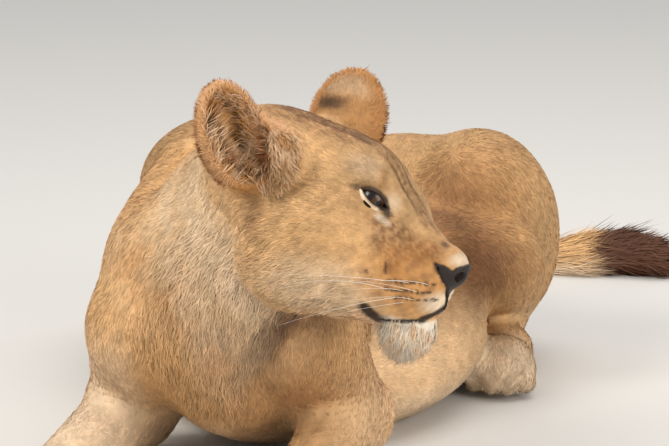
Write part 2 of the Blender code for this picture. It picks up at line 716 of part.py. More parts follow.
def nose_block(grow):
    """A bar through the muzzle with the nose leather's outline: broad above, narrow below."""
    turns = np.linspace(0.0, 2.0 * np.pi, 16, endpoint=False)
    up = np.sin(turns)
    half = (0.021 + 0.011 * up + grow) * np.cos(turns)
    outline = [Vector(on_head(0.158 - grow, s, -0.053 + (0.024 + grow) * u)) + Vector(ROOT)
               for s, u in zip(half, up)]
    return prism(outline, head_way(0.10, 0, 0))


def part_head():
    """Ears, nose and lower jaw off the head, and a socket for each eye."""
    rest = head_whole()
    pieces = {}
    skull = on_head(-0.05, 0, 0.09)
    pieces["nose"] = boolean(rest, nose_block(0.0), "INTERSECT")
    rest = boolean(rest, nose_block(GAP), "DIFFERENCE")
    lips = [on_head(0.28, -0.2, -0.094), on_head(0.178, -0.2, -0.098),
            on_head(0.157, -0.2, -0.1165), on_head(0.108, -0.2, -0.1255),
            on_head(0.075, -0.2, -0.118), on_head(0.020, -0.2, -0.128),
            on_head(-0.020, -0.2, -0.22)]
    rest, pieces["lower_jaw"] = part_by(rest, sheet(lips, head_way(0, 0.4, 0)), skull,
                                        on_head(0.13, 0, -0.14))
    for word, (base, centre, tip_way, open_way) in EARS.items():
        base = np.array(base)
        centre = np.array(centre)
        middle = base + 0.93 * (centre - base)
        root_way = (centre - base) / np.linalg.norm(centre - base) + np.array(tip_way)
        root_way /= np.linalg.norm(root_way)
        across = np.cross(root_way, (0.0, 0.0, 1.0))
        across /= np.linalg.norm(across)
        over = np.cross(across, root_way)
        corner = middle - EAR_CUT * over
        path = [on_head(*(corner - EAR_CUT * across)), on_head(*(corner + EAR_CUT * across))]
        rest, pieces["ear_" + word] = part_by(
            rest, sheet(path, head_way(*(2.0 * EAR_CUT * over))), skull,
            on_head(*(centre + 0.05 * np.array(tip_way))))
    for side, word in ((1, "left"), (-1, "right")):
        pieces["eye_" + word] = eye_ball(side, EYE_RADIUS)
        rest = boolean(rest, eye_ball(side, EYE_RADIUS + GAP), "DIFFERENCE")
    return rest, pieces


def build():
    """Every piece of the lioness."""
    for name, mesh in part_body().items():
        cream = name.startswith(("hind_foot", "forepaw"))
        finish(name, mesh, BROWN if name == "tail_tuft" else CREAM if cream else COAT)
    rest, pieces = part_head()
    finish("head", rest, COAT)
    finishes = {"nose": DARK, "lower_jaw": CREAM, "ear_left": RUFOUS, "ear_right": RUFOUS}
    for name, mesh in pieces.items():
        finish(name, mesh, finishes.get(name, EYE))


build()
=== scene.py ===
"""A lioness lying on her breast with her head turned to her left: skin and coat over the solids.

Metres.  Places are given in her own frame (breast at y = 0, facing -Y, her left +X, floor z = 0)
and ROOT carries them to the model's frame.  The body is worked out as clay: named balls and
limbs run into one another on a grid of sample points, and the skin is the surface where the clay
ends, sunk by the depth of the coat.  The coat is many thin tufts rooted on that skin.
"""
from math import pi, radians, sin, cos
from types import SimpleNamespace

import bpy
import bmesh
import numpy as np
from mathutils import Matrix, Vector


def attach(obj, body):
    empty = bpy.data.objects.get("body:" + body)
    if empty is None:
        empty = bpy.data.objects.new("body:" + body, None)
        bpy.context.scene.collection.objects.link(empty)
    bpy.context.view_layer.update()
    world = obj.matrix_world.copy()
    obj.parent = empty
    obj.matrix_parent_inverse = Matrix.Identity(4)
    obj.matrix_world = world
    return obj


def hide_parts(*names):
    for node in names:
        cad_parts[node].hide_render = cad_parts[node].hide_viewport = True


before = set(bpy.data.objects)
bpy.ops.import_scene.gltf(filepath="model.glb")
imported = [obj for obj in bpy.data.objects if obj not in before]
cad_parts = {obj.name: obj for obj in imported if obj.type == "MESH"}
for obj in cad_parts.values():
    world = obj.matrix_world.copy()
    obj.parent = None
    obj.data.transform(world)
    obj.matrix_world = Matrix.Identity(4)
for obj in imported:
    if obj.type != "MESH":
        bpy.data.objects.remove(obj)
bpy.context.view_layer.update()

ROOT = np.array([-0.0385, -0.6590, 0.0])
FLOOR_LEVEL = 0.0008         # the skin's underside clears the floor by this much
CHEST_HALF = 0.150           # half-widths of the trunk
BELLY_HALF = 0.250
RUMP_HALF = 0.135
BACK_HEIGHT = 0.338
WITHERS_HEIGHT = 0.455
SHOULDER_OUT = 0.178
THIGH_OUT = 0.317
THIGH_OUT_RIGHT = 0.290
PAW_HALF = 0.049
TAIL_RADIUS = 0.0225
EYE_RADIUS = 0.0185

PRESS_MARGIN = 0.015         # how far past a shape and its blend the clay is worked
SLOPE_REACH = 0.0008         # the small reach that slopes are measured over
SLOPE_FLOOR = 0.3            # the least square of a slope that a step divides by
STEP_LIMIT = 0.002           # the most that a point of the surface moves in one step
LIE_REACH = 0.03             # how far from a shape the coat still follows its way,
LIE_FADE = 0.012             # and how fast that fades

HEAD_PLACE = np.array([0.190, -0.050, 0.437])
HEAD_YAW = radians(76.0)
HEAD_PITCH = radians(10.0)
HEAD_ROLL = radians(-4.0)
rng = np.random.default_rng(41)


def unit(v):
    """Vectors scaled to length one."""
    v = np.asarray(v, float)
    return v / np.maximum(np.linalg.norm(v, axis=-1, keepdims=True), 1e-12)


def smooth(low, high, x):
    """0 below low, 1 above high, a smooth rise between."""
    t = np.clip((x - low) / (high - low), 0.0, 1.0)
    return t * t * (3.0 - 2.0 * t)


def head_axes():
    """Rows: forward to the nose, to the head's left, up."""
    forward = np.array([sin(HEAD_YAW) * cos(HEAD_PITCH), -cos(HEAD_YAW) * cos(HEAD_PITCH),
                        -sin(HEAD_PITCH)])
    level_left = np.array([cos(HEAD_YAW), sin(HEAD_YAW), 0.0])
    left = cos(HEAD_ROLL) * level_left + sin(HEAD_ROLL) * np.cross(forward, level_left)
    return np.array([forward, left, np.cross(forward, left)])


WORLD = np.eye(3)
HEAD = head_axes()


def in_head(forward, left, up):
    """A place given along the head's own axes, in the body's frame."""
    return HEAD_PLACE + np.array([forward, left, up]) @ HEAD


def head_way(forward, left, up):
    """A direction given along the head's own axes."""
    return unit(np.array([forward, left, up]) @ HEAD)


def to_head(points):
    """Places in the body's frame turned into forward, left and up of the head."""
    return (points - HEAD_PLACE) @ HEAD.T


# ---------------------------------------------------------------- clay
def ball(centre, radii, axes=WORLD):
    """An ellipsoid: how far a point is outside it is the scaled radius less one, over its slope."""
    centre = np.asarray(centre, float)
    radii = np.asarray(radii, float)
    reach = np.sqrt((axes ** 2).T @ radii ** 2)

    def distance(points):
        q = (points - centre) @ axes.T / radii
        length = np.sqrt((q * q).sum(-1)) + 1e-9
        slope = np.sqrt(((q / radii) ** 2).sum(-1)) + 1e-9
        return length * (length - 1.0) / slope

    return centre - reach, centre + reach, distance, None


def limb(start, end, start_radius, end_radius, wide=1.0, side=(1.0, 0.0, 0.0)):
    """A round-ended taper from start to end; wide stretches its section along side."""
    start = np.asarray(start, float)
    end = np.asarray(end, float)
    side = unit(side)
    along = end - start
    most = max(start_radius, end_radius) * max(wide, 1.0)

    def distance(points):
        q = points - start
        t = np.clip((q @ along) / (along @ along), 0.0, 1.0)
        off = q - t[..., None] * along
        off = off - (off @ side)[..., None] * (1.0 - 1.0 / wide) * side
        return np.sqrt((off * off).sum(-1)) - (start_radius + t * (end_radius - start_radius))

    return np.minimum(start, end) - most, np.maximum(start, end) + most, distance, unit(along)


def head_ball(place, radii, turn=0.0):
    """A ball on the head's axes, its length turned by an angle in the forward-up plane."""
    c, s = cos(turn), sin(turn)
    return ball(in_head(*place), radii, np.array([[c, 0, s], [0, 1, 0], [-s, 0, c]]) @ HEAD)


def head_limb(start, end, start_radius, end_radius, wide=1.0):
    """A taper on the head's axes, widened from side to side."""
    return limb(in_head(*start), in_head(*end), start_radius, end_radius, wide, HEAD[1])


def graded(start, *stretches):
    """Sample places along an axis: from start, each stretch (end, step) in even steps."""
    places = [np.array([start])]
    for end, step in stretches:
        count = int(np.ceil((end - start) / step))
        places.append(np.linspace(start, end, count + 1)[1:])
        start = end
    return np.concatenate(places)


def grid(axes):
    """Every sample point, given the places along each axis."""
    return np.stack(np.meshgrid(*axes, indexing="ij"), -1)


class Clay:
    """Sample points, each holding how far it lies outside the clay so far, and the steps taken."""

    def __init__(self, *axes):
        self.axes = axes
        self.outside = np.full([len(a) for a in axes], 1.0)
        self.steps = []

    def press(self, kind, shape, blend, lie):
        """Add (kind 1) or scoop out (kind -1) a shape, rounded where the two come within blend."""
        low, high, distance, along = shape
        margin = blend + PRESS_MARGIN
        part = []
        for values, a, b in zip(self.axes, low, high):
            first = np.searchsorted(values, a - margin)
            part.append(slice(first, max(np.searchsorted(values, b + margin), first + 1)))
        part = tuple(part)
        near = grid([v[p] for v, p in zip(self.axes, part)])
        self.outside[part] = self.merge(kind, self.outside[part], distance(near), blend)
        if np.isscalar(lie) and along is not None:
            lie = lie * along
        self.steps.append((kind, low - margin, high + margin, distance, blend,
                           None if np.isscalar(lie) or lie is None else unit(lie)))

    @staticmethod
    def merge(kind, old, new, blend):
        """The lesser of two distances, or the greater of one and the other's reverse, rounded."""
        new = kind * new
        close = np.maximum(blend - np.abs(old - new), 0.0) / blend
        return kind * np.minimum(kind * old, kind * new) - kind * close * close * blend * 0.25

    def add(self, shape, blend=0.03, lie=None):
        self.press(1, shape, blend, lie)

    def carve(self, shape, blend=0.01):
        self.press(-1, shape, blend, None)

    def outside_at(self, points):
        """The same distance at any points: every step again, each near its own shape."""
        value = np.full(len(points), 1.0)
        for kind, low, high, distance, blend, _ in self.steps:
            hit = np.nonzero(((points > low) & (points < high)).all(1))[0]
            value[hit] = self.merge(kind, value[hit], distance(points[hit]), blend)
        return np.maximum(value, FLOOR_LEVEL - points[:, 2])

    def slope_at(self, points):
        """Distance and outward way at points, from differences over a small reach."""
        here = self.outside_at(points)
        there = [self.outside_at(points + SLOPE_REACH * e) - here for e in WORLD]
        return here, np.stack(there, -1) / SLOPE_REACH

    def lie_at(self, points):
        """Which way the coat lies: the mean of the shapes' own ways, the nearest counting most."""
        total = np.zeros((len(points), 3))
        for _, low, high, distance, _, lie in self.steps:
            if lie is not None:
                near = (points > low - LIE_REACH) & (points < high + LIE_REACH)
                hit = np.nonzero(near.all(1))[0]
                far = np.clip(distance(points[hit]), -0.02, None)
                total[hit] += np.exp(-far / LIE_FADE)[:, None] * lie
        return unit(total)

    def fill_diagonals(self):
        """Fill in each spot where solid meets solid only across a grid square's diagonal."""
        lower, upper = slice(0, -1), slice(1, None)
        for _ in range(4):
            for axis in range(3):
                u, v = [a for a in range(3) if a != axis]
                corner = []
                for on_u, on_v in ((lower, lower), (upper, lower), (lower, upper), (upper, upper)):
                    part = [slice(None)] * 3
                    part[u], part[v] = on_u, on_v
                    corner.append(self.outside[tuple(part)])
                a, b, c, d = [value < 0.0 for value in corner]
                doubtful = (a == d) & (b == c) & (a != b)
                corner[0][doubtful & ~a] = -1e-4
                corner[1][doubtful & ~b] = -1e-4

    def surface(self):
        """Points and four-cornered faces where the clay ends: one point in each cell that the
        surface crosses, at the mean of the crossings on the cell's edges."""
        self.fill_diagonals()
        value = self.outside
        solid = value < 0.0
        cells = tuple(n - 1 for n in value.shape)
        total = np.zeros(cells + (3,), np.float32)
        count = np.zeros(cells, np.float32)
        for axis in range(3):
            others = [a for a in range(3) if a != axis]
            for i in (0, 1):
                for j in (0, 1):
                    shift = [0, 0, 0]
                    shift[others[0]], shift[others[1]] = i, j
                    here = tuple(slice(s, s + n) for s, n in zip(shift, cells))
                    shift[axis] = 1
                    there = tuple(slice(s, s + n) for s, n in zip(shift, cells))
                    crosses = solid[here] != solid[there]
                    a, b = value[here][crosses], value[there][crosses]
                    count[crosses] += 1
                    total[..., axis][crosses] += a / (a - b)
                    total[..., others[0]][crosses] += i
                    total[..., others[1]][crosses] += j
        used = count > 0
        number = np.full(cells, -1)
        number[used] = np.arange(used.sum())
        corner = np.stack(np.nonzero(used), -1)
        share = total[used] / count[used][:, None]
        points = np.stack([axis[c] + s * (axis[c + 1] - axis[c])
                           for axis, c, s in zip(self.axes, corner.T, share.T)], -1)
        faces = []
        for axis in range(3):
            u, v = (axis + 1) % 3, (axis + 2) % 3
            inner = [slice(1, n) for n in cells]
            inner[axis] = slice(0, cells[axis])
            ahead = list(inner)
            ahead[axis] = slice(1, cells[axis] + 1)
            a, b = solid[tuple(inner)], solid[tuple(ahead)]
            place = np.nonzero(a != b)
            base = np.stack(place, -1)
            base[:, u] += 1
            base[:, v] += 1
            step_u, step_v = np.eye(3, dtype=int)[u], np.eye(3, dtype=int)[v]
            ring = [base - step_u - step_v, base - step_v, base, base - step_u]
            quad = np.stack([number[tuple(r.T)] for r in ring], -1)
            faces.append(np.where(a[place][:, None], quad, quad[:, ::-1]))
        return points, np.concatenate(faces)

    def skin(self, level=-np.inf):
        """The surface with each point carried onto the clay's true end along the slope, the way
        out at each point, and which points were held still: those behind a level of the neck."""
        floor = FLOOR_LEVEL - self.axes[2]
        self.outside = np.maximum(self.outside, floor[None, None, :])
        points, faces = self.surface()
        held = neck_side(points) < level
        for _ in range(2):
            here, slope = self.slope_at(points)
            step = here / np.maximum((slope * slope).sum(1), SLOPE_FLOOR)
            step = np.where(held, 0.0, np.clip(step, -STEP_LIMIT, STEP_LIMIT))
            points = points - step[:, None] * slope
        _, slope = self.slope_at(points)
        return points, faces, unit(slope), held


# ---------------------------------------------------------------- the body in clay
def model_trunk(clay):
    """Rib cage, belly, loins and rump, with the spine's line over them."""
    back, down = (0, 1, -0.45), (0, 0.55, -1)
    clay.add(ball((0, 0.36, 0.190), (CHEST_HALF, 0.31, 0.180)), lie=back)
    clay.add(ball((0, 0.120, 0.200), (0.100, 0.115, 0.125)), 0.05, (0, 0.35, -1))
    clay.add(ball((0, 0.64, 0.150), (BELLY_HALF, 0.29, 0.165)), 0.05, back)
    clay.add(ball((0.006, 0.60, 0.085), (BELLY_HALF, 0.325, 0.115)), 0.05, (0, 1, -0.3))
    clay.add(ball((0, 0.72, 0.225), (0.130, 0.34, BACK_HEIGHT - 0.225)), 0.04, back)
    clay.add(ball((0, 0.925, 0.190), (RUMP_HALF, 0.165, BACK_HEIGHT - 0.202)), 0.05, back)
    clay.add(limb((0, 0.30, 0.345), (0, 0.92, BACK_HEIGHT - 0.022), 0.028, 0.022, 1.3), 0.05, 1)
    for side in (-1, 1):
        clay.add(ball((side * 0.090, 0.865, 0.300), (0.040, 0.075, 0.040)), 0.04, back)
        clay.add(ball((side * 0.075, 1.010, 0.180), (0.062, 0.060, 0.100)), 0.04, down)


def model_neck(clay):
    """From the withers forward and to her left up to the skull, with the loose throat below."""
    nape = in_head(-0.115, 0.0, 0.010)
    clay.add(limb((0, 0.22, 0.330), (0.045, 0.06, 0.385), 0.105, 0.110), 0.07, -1)
    clay.add(limb((0.02, 0.09, 0.355), (-0.075, 0.078, 0.330), 0.085, 0.078), 0.05,
             (-0.5, 0.3, -0.8))
    clay.add(limb((0.045, 0.06, 0.385), nape, 0.110, 0.090), 0.05, (-0.45, 0.5, -0.75))
    clay.add(limb((0.045, 0.06, 0.310), in_head(-0.045, 0.0, -0.075), 0.100, 0.070), 0.05,
             (-0.5, 0.25, -1.0))
    clay.add(limb((0.020, 0.045, 0.245), (0.075, 0.005, 0.320), 0.068, 0.080), 0.05,
             (-0.15, 0.2, -1.0))
    clay.add(head_ball((-0.085, 0, 0.010), (0.072, 0.078, 0.076)), 0.04, head_way(-1, 0, -0.5))


def model_foreleg(clay, side, elbow, wrist, toes):
    """Shoulder blade, upper arm, forearm laid on the floor, and the paw with four toes."""
    point = (side * 0.118, 0.070, 0.222)
    blade = (side * 0.092, 0.270, WITHERS_HEIGHT - 0.058)
    down = (0, 0.25, -1)
    clay.add(limb(blade, point, 0.052, 0.068, 0.9), 0.06, down)
    clay.add(ball((side * 0.118, 0.19, 0.25), (SHOULDER_OUT - 0.118, 0.15, 0.15)), 0.05, down)
    clay.add(limb(point, elbow, 0.070, 0.060), 0.03, down)
    clay.add(ball((elbow[0], elbow[1] + 0.035, elbow[2] - 0.010), (0.038, 0.050, 0.052)), 0.03)
    clay.add(limb(elbow, wrist, 0.058, 0.041), 0.03, 1)
    model_paw(clay, wrist, toes, 0.040)


def model_paw(clay, wrist, toes, depth):
    """A flat pad from the wrist or heel to four round toes, the middle two furthest forward."""
    wrist = np.array(wrist)
    toes = np.array(toes)
    ahead = unit((toes - wrist) * (1, 1, 0))
    across = np.array([-ahead[1], ahead[0], 0.0])
    heel = toes - 0.085 * ahead
    clay.add(limb(wrist, heel, depth, depth, 1.15, across), 0.02, 1)
    clay.add(limb(heel, toes - 0.030 * ahead, depth * 0.95, depth * 0.80, 1.25, across), 0.02, 1)
    for place, reach in ((-1.5, -0.016), (-0.5, 0.0), (0.5, 0.0), (1.5, -0.016)):
        tip = toes + across * place * PAW_HALF * 0.49 + ahead * (reach - 0.018)
        tip[2] = depth * 0.62
        back = tip - ahead * 0.035
        back[2] = depth * 0.95
        clay.add(limb(back, tip, 0.017, 0.0175), 0.008, ahead * 1.0 - (0, 0, 0.6))
    for place in (-1.0, 0.0, 1.0):
        cleft = toes + across * place * PAW_HALF * 0.49 - ahead * 0.004
        cleft[2] = depth * 0.55
        clay.carve(limb(cleft + (0, 0, -0.02), cleft + (0, 0, 0.018) - ahead * 0.022,
                        0.0035, 0.0025), 0.008)


def model_hind_leg(clay, side):
    """Thigh out and forward from the hip, shank folded back under it, foot flat on the floor."""
    hip = (side * 0.110, 0.900, 0.245)
    reach = THIGH_OUT if side > 0 else THIGH_OUT_RIGHT
    knee = (side * (reach - 0.047), 0.715, 0.192)
    hock = (side * 0.225, 0.950, 0.058)
    heel = (side * 0.255, 0.810, 0.040)
    down = (side * 0.2, 0.45, -1)
    clay.add(ball((side * 0.200, 0.865, 0.222), (reach - 0.200, 0.170, 0.137)), 0.04, down)
    if side < 0:
        clay.add(ball((-0.224, 0.895, 0.255), (0.092, 0.130, 0.090)), 0.03, (-0.4, 0.3, -1))
    clay.add(limb(hip, knee, 0.085, 0.050), 0.04, (side * 0.3, 0.35, -1))
    clay.add(ball((side * 0.238, 0.935, 0.175), (0.077, 0.105, 0.120)), 0.03, down)
    clay.add(limb(knee, hock, 0.048, 0.032), 0.03, 1)
    clay.add(limb(hock, heel, 0.034, 0.034), 0.02, 1)
    clay.add(ball((side * 0.225, 0.968, 0.046), (0.028, 0.034, 0.044)), 0.02)
    model_paw(clay, heel, (side * 0.280, 0.640, 0.040), 0.038)
    clay.add(limb((side * 0.20, 0.66, 0.215), knee, 0.050, 0.046), 0.04, (side * 0.3, 0.3, -1))


TAIL_PATH = [(0.000, 1.010, 0.270), (0.004, 1.082, 0.245), (0.010, 1.130, 0.182),
             (0.018, 1.168, 0.100), (0.028, 1.225, 0.038), (0.048, 1.310, 0.021),
             (0.085, 1.410, 0.020), (0.150, 1.495, 0.020), (0.225, 1.530, 0.021)]
TUFT_PATH = [(0.225, 1.530, 0.021), (0.290, 1.538, 0.030), (0.350, 1.532, 0.031),
             (0.400, 1.520, 0.022)]


def smooth_path(points, each=4):
    """A rounded line through the points: each stretch is a cubic whose slopes are the mean of
    the two next to it."""
    p = np.array(points, float)
    slope = np.gradient(p, axis=0)
    t = np.linspace(0.0, 1.0, each, endpoint=False)[:, None]
    out = []
    for a, b, m, n in zip(p[:-1], p[1:], slope[:-1], slope[1:]):
        out.append((2 * t ** 3 - 3 * t ** 2 + 1) * a + (t ** 3 - 2 * t ** 2 + t) * m
                   + (3 * t ** 2 - 2 * t ** 3) * b + (t ** 3 - t ** 2) * n)
    return np.concatenate(out + [p[-1:]])


def model_tail(clay):
    """Thick at the root, down behind her, along the floor and round to her left, then the tuft's
    slender core."""
    path = smooth_path(TAIL_PATH, 3)
    share = np.linspace(0.0, 1.0, len(path))
    radius = TAIL_RADIUS + 0.017 * np.clip(1.0 - 3.2 * share, 0.0, 1.0) ** 1.5
    for a, b, ra, rb in zip(path[:-1], path[1:], radius[:-1], radius[1:]):
        clay.add(limb(a, b, ra, rb), 0.012 if a[1] > 1.07 else 0.03, 1)
    tuft = smooth_path(TUFT_PATH, 2)[:-2]
    girth = [TAIL_RADIUS, 0.020, 0.018, 0.015, 0.012]
    for a, b, ra, rb in zip(tuft[:-1], tuft[1:], girth[:-1], girth[1:]):
        clay.add(limb(a, b, ra, rb), 0.012, 1)


# ---------------------------------------------------------------- the head in clay
# balls on the head's axes: middle, radii, how softly it runs in, and which way the coat lies
SKULL = (((-0.060, 0, 0.022), (0.092, 0.082, 0.076), 0.02, (-1, 0, 0.05)),
         ((0.012, 0, 0.034), (0.069, 0.056, 0.057), 0.04, (-1, 0, 0.05)),
         ((0.000, 0, -0.070), (0.090, 0.070, 0.060), 0.04, (-1, 0, -0.45)))
CHEEK = (((0.000, 0.066, -0.022), (0.085, 0.046, 0.056), 0.03, (-1, 0, -0.45)),
         ((-0.030, 0.060, -0.078), (0.070, 0.042, 0.062), 0.03, (-1, 0, -0.8)),
         ((0.062, 0.040, -0.034), (0.064, 0.036, 0.048), 0.03, (-1, 0, -0.45)),
         ((0.044, 0.037, 0.040), (0.031, 0.025, 0.021), 0.02, (-1, 0.3, 0.35)))
MUZZLE = (((0.100, 0, -0.056), (0.070, 0.050, 0.046), 0.03, (-1, 0, -0.25)),
          ((0.171, 0, -0.045), (0.025, 0.029, 0.024), 0.02, (-1, 0, 0.3)),
          ((0.104, 0, -0.128), (0.050, 0.043, 0.015), 0.008, (-0.8, 0, -0.6)),
          ((0.130, 0, -0.130), (0.036, 0.034, 0.026), 0.010, (-0.6, 0, -1)),
          ((0.126, 0, -0.137), (0.032, 0.028, 0.018), 0.02, (-0.3, 0, -1)))
PADS = (((0.078, 0.028, 0.010), (0.034, 0.024, 0.026), 0.02, (-1, 0.3, 0.2)),
        ((0.050, 0.046, -0.072), (0.058, 0.034, 0.044), 0.03, (-1, 0, -0.4)),
        ((0.090, 0.034, -0.080), (0.050, 0.030, 0.044), 0.03, (-1, 0, -0.25)),
        ((0.132, 0.022, -0.079), (0.041, 0.033, 0.040), 0.015, (-1, 0, -0.25)))
LIP_FRONT = (((0.149, 0, -0.094), (0.027, 0.024, 0.025), 0.010, (-1, 0, -0.25)),)


def add_balls(clay, rows, side=1):
    """The balls of a table, on one side of the head."""
    for (ahead, out, up), radii, blend, (way_ahead, way_out, way_up) in rows:
        clay.add(head_ball((ahead, side * out, up), radii), blend,
                 head_way(way_ahead, side * way_out, way_up))


def model_skull(clay):
    """Cranium, forehead, cheek arches, chewing muscles and the jaw with its fringe of hair."""
    add_balls(clay, SKULL)
    for side in (-1, 1):
        add_balls(clay, CHEEK, side)
        clay.add(head_limb((-0.02, side * 0.050, -0.108), (0.10, side * 0.026, -0.112),
                           0.034, 0.026), 0.03, head_way(-1, 0, -0.6))


def model_muzzle(clay):
    """Bridge of the nose, whisker pads, nose and chin."""
    clay.add(head_limb((0.036, 0, 0.036), (0.152, 0, -0.042), 0.034, 0.024, 1.15), 0.03,
             head_way(-1, 0, 0.4))
    add_balls(clay, MUZZLE)
    for side in (-1, 1):
        add_balls(clay, PADS, side)
    add_balls(clay, LIP_FRONT)


def eye_place(side):
    """The middle of an eye."""
    return in_head(0.063, side * 0.045, 0.0265)


def model_orbit(clay, side):
    """The hollow in front of the brow where the eye lies open."""
    clay.carve(head_ball((0.078, side * 0.079, 0.020), (0.025, 0.020, 0.015), radians(-30.0)),
               0.014)


# half the height and width of her left ear, and of her right ear, laid back and narrower
EAR_SIZE = (0.068, 0.054)
EAR_SIZE_RIGHT = (0.075, 0.048)
# each ear's root, middle, the way its tip points and the way it opens, on the head's axes
EARS = {
    "right": ((-0.074, -0.072, 0.050), (-0.123, -0.110, 0.068), (-0.45, -0.18, 0.87),
              (0.86, -0.50, 0.00)),
    "left": ((-0.066, 0.074, 0.056), (-0.060, 0.110, 0.084), (-0.12, 0.28, 0.94),
             (0.05, 0.95, -0.20)),
}


def ear_axes(tip_way, open_way):
    """Rows: towards the tip, across, and out of the opening."""
    tall = unit(tip_way)
    out = unit(np.array(open_way) - tall * (np.array(open_way) @ tall))
    return np.array([tall, np.cross(tall, out), out]) @ HEAD


def model_ear(clay, base, centre, tip_way, open_way):
    """A round cup: a flat oval shell, hollowed from its open side, on a short broad root."""
    axes = ear_axes(tip_way, open_way)
    place = in_head(*centre)
    tall, wide = EAR_SIZE if centre[1] > 0 else EAR_SIZE_RIGHT
    clay.add(ball(place, (tall, wide, 0.026), axes), 0.012, axes[0])
    clay.add(limb(in_head(*base), place - axes[0] * 0.012, 0.040, 0.034), 0.02, axes[0])
    hollow = place + axes[2] * 0.023 + axes[0] * 0.003
    clay.carve(ball(hollow, (tall - 0.010, wide - 0.009, 0.028), axes), 0.008)


NECK_CUT = in_head(-0.112, 0.0, -0.030)
NECK_WAY = head_way(0.68, -0.50, 0.58)


def neck_side(points):
    """How far ahead of the neck's joint with the head a point lies, the head's side positive."""
    return (points - NECK_CUT) @ NECK_WAY


def body_clay():
    """The whole body, run on into the back of the skull, where the head's own skin takes over."""
    clay = Clay(graded(-0.37, (0.42, 0.0086)),
                graded(-0.29, (-0.09, 0.0058), (0.60, 0.0086), (0.72, 0.0070), (1.60, 0.0090)),
                graded(-0.006, (0.10, 0.0058), (0.58, 0.0086)))
    model_trunk(clay)
    model_neck(clay)
    model_foreleg(clay, 1, (0.140, 0.235, 0.074), (0.138, -0.085, 0.042), (0.135, -0.255, 0.04))
    model_foreleg(clay, -1, (-0.165, 0.230, 0.074), (-0.202, -0.080, 0.042),
                  (-0.210, -0.250, 0.04))
    clay.carve(limb((0.124, -0.074, 0.285), (0.034, -0.024, 0.160), 0.017, 0.021), 0.03)
    for side in (-1, 1):
        model_hind_leg(clay, side)
    model_tail(clay)
    return clay


HEAD_STEP = 0.0034


def head_clay():
    """Head and ears, running back into the neck."""
    low, high = (-0.10, -0.28, 0.24), (0.40, 0.16, 0.62)
    clay = Clay(*[graded(a, (b, HEAD_STEP)) for a, b in zip(low, high)])
    model_neck(clay)
    model_skull(clay)
    model_muzzle(clay)
    for side in (-1, 1):
        model_orbit(clay, side)
    for base, centre, tip_way, open_way in EARS.values():
        model_ear(clay, base, centre, tip_way, open_way)
    return clay


# ---------------------------------------------------------------- markings and painted shade
def tone(red, green, blue):
    """A colour given in bytes, as linear light."""
    c = np.array([red, green, blue]) / 255.0
    return ((c + 0.055) / 1.055) ** 2.4


TAWNY = tone(212, 168, 116)
BACK = tone(188, 144, 96)
CREAM = tone(240, 220, 192)
GREY = tone(224, 198, 164)
ORANGE = tone(208, 142, 74)
BROWN = tone(118, 78, 50)
DARK = tone(42, 30, 25)
WHITE = tone(238, 224, 204)
TUFT = tone(96, 62, 44)


def spot(q, centre, radii, edge=0.4):
    """1 inside an ellipsoid, fading to 0 over a share of its size at the rim."""
    away = np.sqrt((((q - np.array(centre)) / np.array(radii)) ** 2).sum(1))
    return 1.0 - smooth(1.0 - edge, 1.0 + edge, away)


def stroke(q, path, width, edge=0.5):
    """1 within half a width of a broken line, fading to 0 at its edge."""
    path = np.array(path, float)
    away = np.full(len(q), 1e9)
    for a, b in zip(path[:-1], path[1:]):
        along = b - a
        t = np.clip(((q - a) @ along) / (along @ along), 0.0, 1.0)
        away = np.minimum(away, ((q - a - t[:, None] * along) ** 2).sum(1))
    half = 0.5 * width
    return 1.0 - smooth(half * (1.0 - edge), half * (1.0 + edge), np.sqrt(away))


def wander(points, size, seed):
    """A soft random value from -1 to 1 that changes over about the size given: a few sine waves
    in random directions added up."""
    own = np.random.default_rng(seed)
    total = np.zeros(len(points))
    for _ in range(7):
        way = unit(own.normal(size=3)) * 2.0 * pi / (size * own.uniform(1.2, 3.5))
        total += np.sin(points @ way + own.uniform(0, 2 * pi))
    return np.clip(total / 3.0, -1.0, 1.0)


def paint(colour, mask, other):
    """Lay another colour over a colour where the mask says."""
    mask = np.clip(mask, 0.0, 1.0)[:, None]
    return colour * (1.0 - mask) + np.asarray(other) * mask


def all_of(colour, points):
    """One colour at every point."""
    return np.tile(colour, (len(points), 1))


def on_head_share(points):
    """1 on the head, 0 on the body."""
    q = to_head(points)
    return smooth(-0.02, 0.02, neck_side(points)) * (np.abs(q[:, 1]) < 0.20) * (q[:, 2] > -0.2)


def beyond_crease(points):
    """1 on the left shoulder and arm, 0 on the throat's side of the crease between them."""
    x, y, z = points.T
    edge = np.interp(z, [0.05, 0.160, 0.285, 0.34], [-0.01, 0.034, 0.124, 0.19])
    edge = edge + 0.10 * np.maximum(-y - 0.05, 0.0)
    return smooth(-0.004, 0.014, x - edge) * smooth(0.42, 0.36, z)


class Coat:
    """The colour of the hair at points, with markings and painted shade laid over it one by one."""

    def __init__(self, colour):
        self.colour = colour

    def over(self, places, share=1.0):
        """The markings that follow are placed in these numbers, only where share allows."""
        self.places = places
        self.share = share

    def lay(self, mask, other):
        self.colour = paint(self.colour, self.share * mask, other)

    def spot(self, amount, centre, radii, edge, other):
        self.lay(amount * spot(self.places, centre, radii, edge), other)

    def stroke(self, amount, path, width, edge, other):
        self.lay(amount * stroke(self.places, path, width, edge), other)


